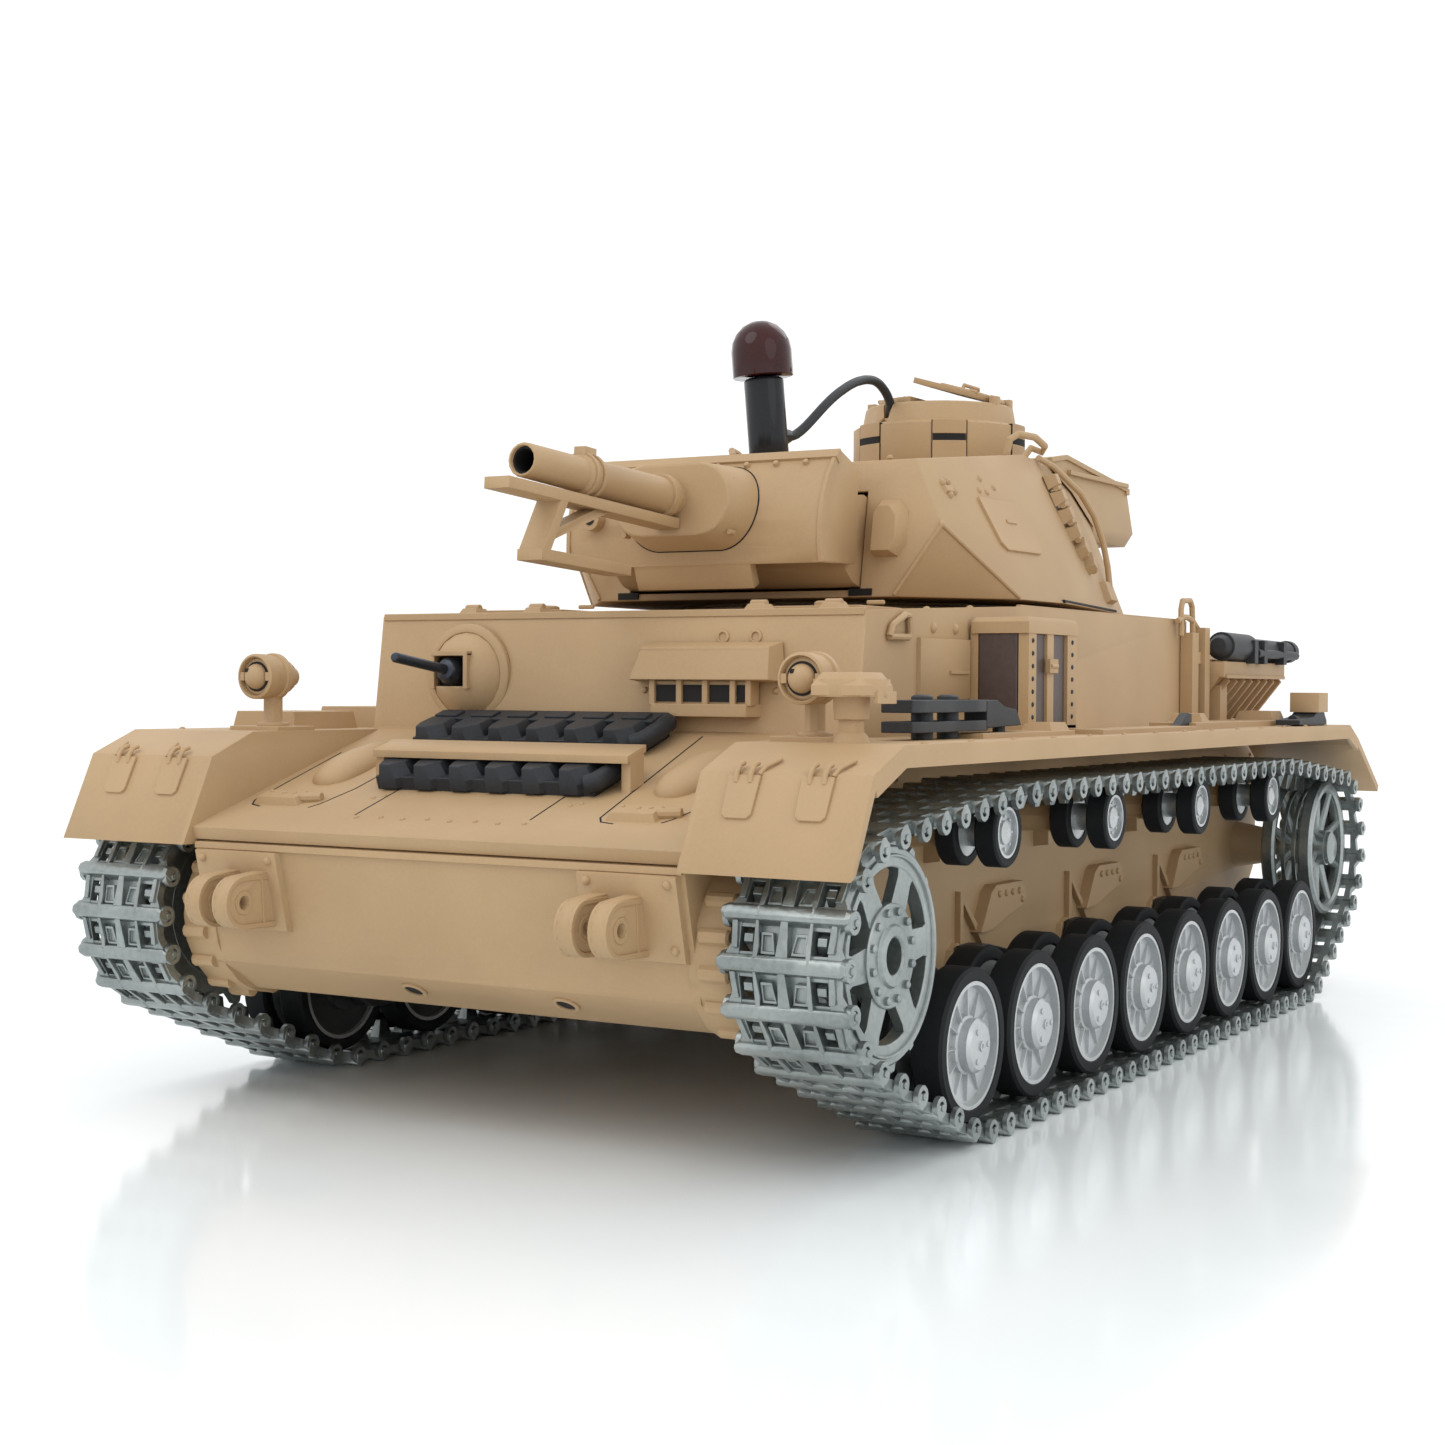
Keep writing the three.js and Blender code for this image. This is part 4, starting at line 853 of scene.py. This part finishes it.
def left_side_fittings():
    """The jack block in its frame, hooks and brackets on the left side."""
    part = Part()
    cap = [(61, -59.4), (74.2, -59.4), (74.2, -31), (61, -31)]
    part.skin([[(x, y, 96.9) for x, y in cap], [(x, y, 99.4) for x, y in cap],
               [(67.6 + (x - 67.6) * 0.9, -45.2 + (y + 45.2) * 0.94, 100.4) for x, y in cap]])
    for y0, y1, x1 in ((-58.9, -54.7, 74), (-48.4, -44.8, 73.9), (-37, -31.8, 74)):
        part.box((71.6, y0, 76.6), (x1, y1, 98))
    part.box((60.6, -58.9, 76.2), (62.4, -57.4, 98))
    part.box((61.4, -59.2, 75.6), (74, -31.4, 77.4))
    part.box((73.6, -48.9, 88.6), (74.8, -44.3, 91.6))
    part.rod((74.6, -48.4, 90.1), (74.6, -44.8, 90.1), 0.6, 8)
    loop = [(-98.4, 95.4), (-97.2, 97.6), (-91.4, 99.9), (-89.4, 99.6), (-89, 96.2), (-89.8, 95.4),
            (-98.4, 95.4)]
    part.tube([(60.9, y, z) for y, z in loop], 0.75, 8)
    for y in (-76.4, -65.5):
        part.dome("x", 1.2, 0.8, (60, y, 97.7), 12, 3, base=0.3)
    part.box((60.6, -70.2, 88.2), (61.5, -60.8, 88.9))
    for y0, y1, x1, z0, z1 in ((79, 84.2, 63.6, 75.2, 100.5), (86.6, 90.6, 64.6, 75.2, 102),
                               (95.6, 101.6, 66, 75.2, 86.5)):
        part.box((60.2, y0, z0), (x1, y1, z1))
    part.box((60.2, 84, 92.2), (63.4, 90.8, 95.4))
    for line in ([(75.4, 99.6), (75.2, 106.6), (76.4, 108.9), (82.4, 109.2), (84.2, 107.6), (85.2, 99.6)],
                 [(72.4, 103.4), (76.8, 104.6), (80.6, 104.6), (84.8, 103.8), (90.2, 101.2)]):
        part.tube([(61.6, y, z) for y, z in line], 0.8, 8)
    part.done("left_side_fittings", bevel=0.18)

    brown = Part()
    for x0, x1, y0, y1 in ((62.6, 71.4, -59, -57.6), (72, 73.3, -54.6, -48.6), (72, 73.3, -44.6, -37.2)):
        brown.box((x0, y0, 77.6), (x1, y1, 97))
    brown.done("jack_block_panels", LEATHER_BROWN, bevel=0.25)

    rivets = Part()
    for y in (-56.8, -34.4):
        for k in range(7):
            rivets.rivet("x", 0.55, 0.35, (74, y, 79.2 + k * 2.7), base=0.2)
    rivets.done("jack_block_rivets", TOOL, bevel=0)


# ---------------------------------------------------------------- fenders
FENDER_TOP = 75.3
LAMP_X, LAMP_Y = 76, -144           # of the lamp at the front of the left fender


def fender_fittings():
    """Raised plates and boxes on the fenders, mudguard loops and the left front lamp."""
    part = Part()
    for x0, x1, y0, y1, top in ((68.5, 81, -98, -50, 76.5), (77, 85, -44, 18, 76.6), (70, 82, 27, 58, 77.2),
                                (63, 79, 66, 104, 77), (-84, -64, -20, 40, 79.6)):
        part.box((x0, y0, FENDER_TOP), (x1, y1, top))
    for y in (-12, 28):
        part.box((-83, y, 79.4), (-65, y + 4, 80.2))
    part.wedge((72, -60, 75.4), (80, -49, 78.2), 1.2)
    part.wedge((71, 38, 76.8), (80, 44, 79.4), 1.2)
    part.wedge((66, 106, FENDER_TOP), (78, 118, 79.5), 1.4)
    part.wedge((-84, 60, FENDER_TOP), (-62, 120, 87), 1.2)
    for y0, y1, z1 in ((-127, -106, 79.3), (-99, -74, 80.2), (-66, -33, 79)):
        part.wedge((-86, y0, FENDER_TOP), (-68, y1, z1), 0.7)
    for y in (66, 90, 114):
        part.box((-84.6, y - 1.2, 76), (-61.6, y + 1.2, 87.4))
    for flip in FLIPS:
        part.place = flip
        part.box((58.6, -142.6, FENDER_TOP), (72, -131.2, 76.4))
        for x0, x1 in ((63, 69.2), (77.2, 83.4)):
            leaf = [(x0, 0.4), (x1, 0.4), (x1 - 0.2, -6.8), (x1 - 1, -7.6), (x0 + 1, -7.6), (x0 + 0.2, -6.8)]
            part.skin([[(x, -164.2 + h * 0.42 - lift * 0.91, 69.9 + h * 0.91 + lift * 0.42) for x, h in leaf]
                       for lift in (-0.3, 0.3)])
            for x in (x0 + 1.7, x1 - 1.7):
                part.tube([(x, -164.7, 69), (x, -164.5, 70.6), (x, -163.4, 71.9), (x, -161.9, 72.3)], 0.5, 8)
            part.tube([(x1 - 0.4, -164, 70.4), (x1 + 0.1, -162.6, 71.7), (x1 + 1.4, -159.2, 73)], 0.4, 8)
        for y in range(-140, 140, 20):
            part.rivet("z", 0.7, 0.45, (88.2, y, 75.5))
    part.place = HOME
    lamp = [(6.6, -1.2), (5, -6.4), (-4.6, -6.6), (-6.8, -2), (-6.2, 4.4), (-2.8, 6.7), (3.4, 6.6),
            (6.5, 3.2)]
    part.skin([[(LAMP_X + x * size, LAMP_Y + y * size, z) for x, y in lamp]
               for z, size in ((83.8, 1), (85.6, 1), (87.9, 0.72))])
    part.prism("z", [(82.6, -146.8), (82.6, -139.4), (81.5, -139.4), (81.5, -146.8)], 82.4, 84.6)
    part.turned("z", [(3.1, 79.6), (3.3, 83.9), (0, 83.9)], (LAMP_X, LAMP_Y, 0), 24)
    part.turned("z", [(3.4, FENDER_TOP), (3, 76.6), (2.3, 77.4), (0, 77.4)], (LAMP_X, LAMP_Y, 0), 24)
    part.done("fender_fittings", bevel=0.2)


def fender_tools():
    """Dark tools and the jack, lying on the fenders."""
    part = Part()
    lobes = [(-124, 71.8), (-119, 71), (-116.5, 72.2), (-109, 70.8), (-104, 72), (-97, 70.8), (-92, 71.6),
             (-88, 72.6), (-88, 77.6), (-92, 78.6), (-98, 79.2), (-104, 78), (-110, 79.2), (-117, 78.2),
             (-120, 79), (-124, 78.2)]
    for z0, z1 in ((76.9, 79), (80.6, 83)):
        part.prism("z", [(x, y) for y, x in lobes], z0, z1)
    for y in (-113, -101.5):
        part.turned("z", [(2.1, 75.5), (2.1, 83.6), (1.4, 84), (0, 84)], (75, y, 0), 14)
    part.prism("x", [(-90, 77.4), (-90, 82.8), (-85, 83), (-81, 81.6), (-75, 81), (-72.5, 77.8)], 73.2, 78.2)
    part.rod((76.4, -80, FENDER_TOP), (76.4, -80, 80), 1.3, 10)
    part.prism("x", [(17, 76.6), (21, 77), (26, 79.6), (29, 79.4), (29, 76.6)], 78, 80.2)
    part.rod((66.2, 95.2, 97.2), (66.2, 117, 97), 3.9, 24)
    part.rod((66.4, 114, 97), (66.6, 156, 96.6), 2.9, 20)
    part.rod((69.4, 117, 95.6), (69.4, 156, 95.4), 1.3, 12)
    part.turned("y", [(0, 155), (3.3, 155), (3.3, 158.4), (2.4, 159.4), (0, 159.4)], (66.6, 0, 96.6), 20)
    part.turned("y", [(0, 92.6), (2.2, 92.6), (3, 94), (3.4, 95.6), (0, 95.6)], (66.2, 0, 97.2), 20)
    for y in (112, 121, 140):
        part.box((62.8, y, 92.6), (70.6, y + 3.2, 99.2))
    shoe = [(98, 75.8), (98, 77.2), (112, 78), (116, 79.6), (122, 79.6), (125, 77), (125, 75.4)]
    part.prism("x", shoe, 80.6, 87.2)
    part.rod((84, 102, 77.2), (84, 112, 76.4), 1.4, 10)
    part.rod((-76, -57, 80.4), (-76, -14, 80.4), 1.1, 10)
    part.wedge((-79.5, -64, 79), (-72.5, -55, 81.8), 0.8)
    part.rod((-70.5, -60, 80.2), (-70.5, -18, 80.2), 0.9, 10)
    part.done("fender_tools", TOOL, bevel=0.3)


DECK_START, DECK_TOP, DECK_FALL = 84.8, 99, 3.5 / 63.2


def deck(y):
    """The engine deck's height: it falls away toward the back."""
    return DECK_TOP - (y - DECK_START) * DECK_FALL


def deck_fittings():
    """Hatches, side grilles and the tail plate's fittings."""
    part = Part()
    for x0, x1, y0, y1 in ((-44, -4, 92, 118), (4, 44, 92, 118), (-44, -4, 121, 145), (4, 44, 121, 145)):
        ring = [(x0, y0), (x1, y0), (x1, y1), (x0, y1)]
        part.skin([[(x, y, deck(y) - 0.3) for x, y in ring],
                   [(x + (0.5 if x == x0 else -0.5), y + (0.5 if y == y0 else -0.5), deck(y) + 0.9)
                    for x, y in ring]])
        middle = (x0 + x1) / 2
        grip = ((-4, 0.6), (-3.6, 2.3), (3.6, 2.3), (4, 0.6))
        part.tube([(middle + dx, y0 + 4, deck(y0) + h) for dx, h in grip], 0.5, 8)
        for x in (x0 + 5, x1 - 5):
            part.rod((x - 2.5, y1 + 0.1, deck(y1) + 0.9), (x + 2.5, y1 + 0.1, deck(y1) + 0.9), 1, 10)
    for flip in FLIPS:
        part.place = flip
        for k in range(8):
            y = 97 + k * 7
            part.prism("y", [(58, 77.2), (59.4, 76.8), (67.9, 87.6), (66.8, 88.9)], y, y + 1.3)
            part.box((53.5, y - 0.4, 92.8), (61, y + 2.8, 93.7))
        part.box((51.2, 94, 88.4), (68.4, 149, 89.3))
    part.place = Matrix.Translation((0, 160, 50))
    for x0, x1, z0, z1 in ((-44, -12, -16, 4), (12, 44, -16, 4)):
        part.wedge((x0, -0.2, z0), (x1, 0.9, z1), 0.5, "y")
        for x in (x0 + 3, x1 - 3):
            for z in (z0 + 3, z1 - 3):
                part.rivet("y", 0.8, 0.6, (x, 0.9, z), base=0)
    part.wedge((-9, -0.2, -12), (9, 2.4, 2), 0.8, "y")
    part.turned("y", [(4, 0), (4, 4.4), (3.2, 5), (0, 5)], (0, 0, -5), 20)
    for side in (1, -1):
        part.tube([(side * 50, 0, 18), (side * 50, 2.8, 18), (side * 50, 2.8, 8), (side * 50, 0, 8)], 0.7, 8)
    part.done("deck_and_tail_fittings", bevel=0.2)

    # Painted shade: dark strips between the grille slats and a dark disc on the tail stand for the shade in
    # these openings.
    dark = Part()
    for flip in FLIPS:
        dark.place = flip
        for k in range(7):
            dark.box((53.8, 99.8 + k * 7, 92.7), (60.6, 102.9 + k * 7, 93.15))
    dark.place = HOME
    for x in (-24, 24):
        for k in range(5):
            y = 124.5 + k * 3.8
            dark.box((x - 15, y, deck(y) + 0.6), (x + 15, y + 1.6, deck(y) + 1.02))
    dark.rod((-30, 171.5, 75.7), (-30, 171.5, 76.12), 1.9, 16)
    dark.done("deck_grille_shade", SHADOW, bevel=0)


def headlight_faces():
    """Rims, lens and shade slit on both headlights; the groove round the lens and a small notch are dark
    painted shade.
    """
    part = Part()
    dark = Part()
    for x in (65, -65):
        part.place = dark.place = Matrix.Translation((x, -137, 86.8))
        part.ring("y", [(4.75, -3.2), (4.75, -5.6), (4.2, -5.9), (4, -5.4), (4, -3.2)], segments=40)
        part.dome("y", 2.7, -2.3, (0, -4.95, 0), 28, 8, base=-0.6)
        part.ring("y", [(4.95, 0.6), (4.95, -0.6), (4.4, -0.9), (4.4, 0.9)], segments=40)
        part.turned("y", [(0, 4.6), (2.4, 4.6), (2, 6), (0, 6.2)], segments=20)
        for a, b in ((-4.1, -2.9), (2.9, 4.1)):
            part.box((a, -5.7, -0.9), (b, -4.6, 0.9))
        # Painted shade: a dark ring for the groove round the lens, and a dark notch above it.
        dark.ring("y", [(3.15, -4.8), (3.15, -5.1), (2.6, -5.1), (2.6, -4.8)], segments=32)
        dark.box((-1.5, -7, 0.9), (-0.7, -6.4, 1.7))
    part.done("headlight_rims", bevel=0.1)
    dark.done("headlight_groove_shade", SHADOW, bevel=0)


# ---------------------------------------------------------------- turret
def facing(at, normal):
    """Local z out of a leaning face, local x level along it, local y up it."""
    out = Vector(normal).normalized()
    level = Vector((0, 0, 1)).cross(out).normalized()
    return axes_at(at, level, out.cross(level), out)


def turret_fittings():
    """Visors, side doors, spare links, rails and roof vents."""
    part = Part()
    dark = Part()
    for flip in FLIPS:
        part.place = flip
        part.skin([[(33.4, -49.6, 113.9), (39.6, -49.6, 113.9), (41.4, -49.6, 117), (41, -49, 124.6),
                    (38.8, -48.6, 127.2), (34.4, -48.6, 127.2), (33.4, -49, 125)],
                   [(34, -54, 115.6), (38.4, -54, 115.6), (39.9, -53.6, 118.2), (39.6, -52.6, 123.4),
                    (37.8, -52.2, 125.6), (35, -52.2, 125.6), (34, -52.6, 124)]])
        part.rod((49.3, -49.5, 121.1), (39, -52, 105.8), 0.55, 8)
        part.rod((49.5, -49.4, 121.1), (58.2, -26.4, 105.8), 0.55, 8)
        part.dome("x", 1, 0.9, (49, -49.2, 121.2), 10, 3)
        part.place = flip @ facing((49.85, -12.6, 122.83), (0.89, -0.03, 0.46))
        door = [(-11.8, 6.4), (-11.4, 7), (10.4, 7), (11, 6.4), (11, -5.2), (9.4, -6.8), (-8.6, -6.8),
                (-10.6, -5)]
        part.prism("z", door, -0.3, 0.75)
        part.box((-2.6, 0.6, 0.6), (2.6, 1.5, 1.1))
        for x, y in ((-4.9, 12.6), (-8.3, 9.2), (0.8, 10.7), (-4.4, 9)):
            part.dome("z", 0.8, 0.7, (x, y, 0), 10, 3, base=0.5)
        part.wedge((-28, 6.6, -0.5), (-23.4, 9.2, 0.8), 0.6)
        for x, y in ((-27.2, 9.4), (-24.2, 9.9), (-22.9, 7.4), (-26, 6.4)):
            part.dome("z", 0.9, 1.1, (x, y, 0), 10, 3, base=0.5)
        part.place = flip
        chain = [Vector(p) for p in ((41.2, 31.2, 139.4), (42.7, 31.9, 135.4), (44.2, 33, 131.2),
                                     (45.6, 34.6, 127), (46.7, 36.6, 122.9), (47.2, 41, 119),
                                     (46.9, 47.5, 115.6))]
        for a, b in zip(chain, chain[1:]):
            out = Vector((0.93, 0.15, 0.35))
            way = (b - a).normalized()
            part.place = flip @ axes_at((a + b) / 2 + out * 0.9, way, out.cross(way).normalized(),
                                        out.normalized())
            part.wedge((-2.2, -2.6, -1.8), (1.7, 2.6, 1.3), 0.6)
            part.rod((1.9, -1.8, 0), (1.9, 1.8, 0), 0.9, 8)
        part.place = flip
        part.tube([(39.3, 29.6, 143.6), (40.2, 37, 142.2), (40.8, 44, 139.8), (42, 52, 136.4),
                   (43.4, 58, 131), (44.6, 61.6, 124.4), (45.4, 63.4, 117.6), (46.2, 63, 111.8)], 0.85, 8)
        part.place = flip @ facing((46.4, 60, 110.6), (0.93, 0.17, 0.34))
        part.wedge((-5, -3.2, -0.6), (5, 3.2, 1.4), 0.6)
        part.place = flip
        part.tube([(38.4, 11.4, 142.6), (39.4, 11.2, 146.4), (40.8, 13, 147.8), (42.6, 19.4, 147.6),
                   (43.3, 24.2, 145.8), (41.6, 26.6, 144.6), (39.4, 24.6, 145.6), (38.4, 21.6, 142.6)],
                  0.9, 10)
        part.box((37.6, 52.5, 141.4), (39.2, 96, 142.6))
        # Painted shade: a small dark slit low on each side of the turret's front, and a dark line along the
        # foot of each side.
        dark.place = flip
        dark.prism("z", [(27.9, -52.35), (33.6, -52.35), (33.6, -51.2), (27.9, -51.2)], 105.7, 107.3)
        dark.rod((59, -2, 105.9), (46.6, 66.2, 105.9), 0.45, 6)
    part.place = HOME
    for x, y, r in ((-24, 22, 6), (22, 26, 3.2)):
        part.turned("z", [(r, 142.7), (r, 143.5), (r - 0.6, 143.8), (0, 143.8)], (x, y, 0), 28)
    for x in (-30, -18, -6, 6, 18, 30):
        part.rivet("z", 0.8, 0.5, (x, -36, 138.15), base=0.5)
    lip = [(96.8, 141.7), (51.2, 146.5), (40.4, 144.9), (40.6, 143.6), (51.2, 145.2), (96.4, 140.4)]
    for x0, x1 in ((-38.7, -37.6), (37.6, 38.7)):
        part.prism("x", lip, x0, x1)
    part.box((-38.6, 96, 139.6), (38.6, 98.4, 141.4))
    for x in (-22, 22):
        part.rod((x - 4, 98.4, 140.2), (x + 4, 98.4, 140.2), 1.1, 10)
        part.box((x - 1.6, 99, 134.2), (x + 1.6, 101.2, 140.4))
    part.ring("z", [(7.2, 137.4), (7.2, 139.6), (6.4, 140.4), (5.2, 140.6), (5.2, 137.4)], (-11, -19, 0.9), 32)
    part.done("turret_fittings", SAND, "turret", bevel=0.15)
    dark.done("turret_slit_shade", SHADOW, "turret", bevel=0)


CUPOLA_Y = 55
LEFT_LID_AJAR = math.radians(16)
BLOCK_ANGLE = -58.5         # of the first vision block, in degrees


def arc_block(part, r0, r1, z0, z1, start, end, steps=6):
    """A piece of a ring about the cupola's axis, between two angles in degrees."""
    rings = []
    for k in range(steps + 1):
        t = math.radians(start + (end - start) * k / steps)
        c, s = math.cos(t), math.sin(t)
        rings.append([(r * c, CUPOLA_Y + r * s, z) for r, z in ((r0, z0), (r1, z0), (r1, z1), (r0, z1))])
    part.skin(rings)


def cupola_fittings():
    """Six vision blocks round the cupola, with their slits."""
    part = Part()
    dark = Part()
    for k in range(6):
        middle = BLOCK_ANGLE + 60 * k
        arc_block(part, 22.6, 23.5, 144.2, 150.1, middle - 11, middle + 11)
        arc_block(part, 21.4, 23.5, 151.9, 155.6, middle - 11, middle + 11)
        # Painted shade: dark arcs for the vision slits, and thin dark lines in the gaps at each block's sides.
        arc_block(dark, 22.4, 23.4, 150, 152, middle - 10.6, middle + 10.6)
        for edge in (-11.35, 11.35):
            arc_block(dark, 22.5, 23.42, 143.9, 155.5, middle + edge - 0.22, middle + edge + 0.22, 1)
        for edge in (-19, 19):
            t = math.radians(middle + edge)
            part.rivet("z", 0.7, 0.5, (21.9 * math.cos(t), CUPOLA_Y + 21.9 * math.sin(t), 155.2))
    arc_block(part, 18.9, 20.35, 156.2, 157, 0, 359.9, 48)
    arc_block(part, 22.8, 24.6, 143.3, 144.5, 0, 359.9, 48)
    part.done("cupola_fittings", SAND, "turret", bevel=0.12)
    dark.done("cupola_slit_shade", SHADOW, "turret", bevel=0)


GUN_RADIUS = 24.3                       # of the mantlet's face about the gun's trunnions
PIVOT = Vector((0, -50.5, 118))         # the middle of the trunnions
GUN_RISE = math.radians(3.6)
AHEAD = Vector((0, -math.cos(GUN_RISE), math.sin(GUN_RISE)))
UPWARD = Vector((0, math.sin(GUN_RISE), math.cos(GUN_RISE)))
BORE = PIVOT + UPWARD * 6               # on the barrel's axis, above the trunnions


def mantlet_fittings():
    """Bolts, hood and edge strips on the gun's round face."""
    part = Part()

    def spot(degrees, reach):
        t = math.radians(degrees)
        return (PIVOT.y - reach * math.cos(t), PIVOT.z + reach * math.sin(t))
    for x in (-26, -18.6, -11.2, -3.8, 3.8, 11.2, 18.6, 26):
        part.rod((x, *spot(41, GUN_RADIUS - 0.4)), (x, *spot(41, GUN_RADIUS + 0.8)), 0.85, 10, 0.6)
    hood = (43.4, 46.4, 49.6)
    edge = (-14, -4, 8, 20, 32, 44)
    for bends, high, low, x0, x1 in ((hood, 0.6, 1.6, -33.2, 33.2), (edge, 0.35, 1.8, -32.9, -31.9),
                                     (edge, 0.35, 1.8, 31.9, 32.9)):
        part.prism("x", [spot(a, GUN_RADIUS + high) for a in bends]
                   + [spot(a, GUN_RADIUS - low) for a in bends[::-1]], x0, x1)
    part.done("mantlet_fittings", SAND, "gun", bevel=0.12)


def root_outline(share, grow):
    """The outline round the gun's root, from its front face (0) back to its widest (1)."""
    half, low, high, reach = (a + (b - a) * share for a, b in ((15, 18), (-2.1, -6), (13.6, 14.6), (33, 17)))
    r = (high - low) / 2 + grow
    points = []
    for t in angles(48, 0.5):
        x = math.copysign(half - (high - low) / 2, math.cos(t)) + r * math.cos(t)
        points.append(PIVOT + ACROSS * x + AHEAD * reach + UPWARD * ((low + high) / 2 + r * math.sin(t)))
    return points


def gun_root():
    """The smooth housing that the barrel comes out of."""
    part = Part()
    face = [PIVOT + ACROSS * (p.x * 0.97) + AHEAD * 33.1 + UPWARD * ((p - PIVOT).dot(UPWARD) * 0.97 + 0.17)
            for p in root_outline(0, 0.05)]
    part.skin([face, root_outline(0.03, 0.08), root_outline(1, 0.08)])
    part.done("gun_root", SAND, "gun", bevel=0.3)


def root_seam():
    """Where the root's sides run into the mantlet's round face."""
    seam = []
    for near, far in zip(root_outline(0, 0.1), root_outline(1, 0.1)):
        a, b = 0, 1
        for _ in range(24):
            p = near.lerp(far, (a + b) / 2)
            if math.hypot(p.y - PIVOT.y, p.z - PIVOT.z) > GUN_RADIUS + 0.05:
                a = (a + b) / 2
            else:
                b = (a + b) / 2
        seam.append(near.lerp(far, b))
    return seam


def gun_bore_shade():
    """Painted shade: dark liners and plugs in both barrels' openings, and a dark line along the housing's
    seam.
    """
    part = Part()
    # Painted shade: a thin dark line where the housing meets the mantlet's round face.
    seam = root_seam()
    for a, b in zip(seam, seam[1:] + seam[:1]):
        part.rod(a, b, 0.2, 6)
    wall = []
    for reach, width in ((74.1, 2.84), (86.9, 2.84), (86.9, 2.35), (74.1, 2.35)):
        wall.append([BORE + AHEAD * reach + (ACROSS * math.cos(t) + UPWARD * math.sin(t)) * width
                     for t in angles(24)])
    part.skin(wall, loop=True)
    # Painted shade: a dark plug a little way inside the bore, so it looks dark within.
    part.rod(BORE + AHEAD * 74.2, BORE + AHEAD * 74.8, 2.8, 16)
    coax = PIVOT - ACROSS * 25 + UPWARD * 3
    part.rod(coax + AHEAD * 27, coax + AHEAD * 27.25, 1.2, 12)
    part.done("gun_bore_shade", SHADOW, "gun", bevel=0)


def barrel_collars():
    """Bands round the barrel, and the housing's bolts."""
    part = Part()
    for start, end, r in ((64.4, 65.4, 4.75), (67.2, 68, 4.75), (35.6, 38, 4.85)):
        part.rod(BORE + AHEAD * start, BORE + AHEAD * end, r, 28)
    for x in (-13.5, 13.5):
        for h in (-1.2, 10.2):
            bolt = PIVOT + ACROSS * x + UPWARD * h
            part.rod(bolt + AHEAD * 28, bolt + AHEAD * 30.2, 0.7, 8)
    part.done("barrel_collars", SAND, "gun", bevel=0.15)


def lid_fittings():
    """A strap and a handle on each half of the lid, drawn from its hinge; the left half stands ajar."""
    for side, word in SIDES:
        tilt = LEFT_LID_AJAR if side > 0 else 0
        part = Part(Matrix.Translation((side * 17.4, CUPOLA_Y, 161.9)) @ Matrix.Rotation(tilt, 4, "Y"))
        part.tube([(-side * 9, y, z) for y, z in ((-5, 0.7), (-4.6, 2.2), (4.6, 2.2), (5, 0.7))], 0.55, 8)
        a, b = sorted((-side * 4.5, -side * 14))
        part.wedge((a, -9.5, 0.7), (b, 9.5, 1.35), 0.5)
        for y in (-8.2, 5.8):
            part.rod((-side * 3, y, 1.1), (-side * 5.4, y, 1.1), 0.5, 8)
        part.done(f"lid_fittings_{word}", SAND, f"lid_{word}", bevel=0.1)


# ---------------------------------------------------------------- scene
FLOOR_REACH = 6000


def floor():
    """A pale slab far wider than the view."""
    part = Part()
    part.box((-FLOOR_REACH, -FLOOR_REACH, -40), (FLOOR_REACH, FLOOR_REACH, 0))
    data = part.mesh("floor")
    data.materials.append(surface("pale_floor", (0.930, 0.968, 0.975), (0.940, 0.978, 0.985), 0.12, blotch=3,
                                  grain=60, relief=0))
    add_object("floor", data)


make_camera()
beacon_lead()

for name in ("lower_hull", "upper_hull", "engine_deck", "muffler", "turret_shell", "stowage_bin", "cupola",
             "cupola_lid_left", "cupola_lid_right", "gun_barrel", "antenna_deflector",
             "headlight_left", "headlight_right"):
    keep(name, SAND)
for side, word in SIDES:
    keep(f"gearbox_{word}", CHASSIS, 0)
    for k in range(1, 5):
        keep(f"bogie_{word}_{k}", CHASSIS, 0.3)
keep("gun_mantlet", SAND, 0.35, 42)
keep("bow_machine_gun", GUNMETAL, 0.1)
keep("battery_pack", WRAP, 0)
keep("control_board", BOARD, 0)
keep("beacon_tube", GLOSS_BLACK, 0.2)
keep("beacon_dome", DOME, 0.1)
for build in (tracks, road_wheels, return_rollers, sprockets, idlers, spare_links, glacis_fittings,
              nose_fittings, hull_side_fittings, front_plate_fittings, roof_fittings, left_side_fittings,
              fender_fittings, fender_tools, deck_fittings, headlight_faces, turret_fittings,
              cupola_fittings, mantlet_fittings, gun_root, gun_bore_shade, barrel_collars, lid_fittings):
    build()
floor()
lighting()
bpy.context.scene.view_settings.view_transform = "Standard"
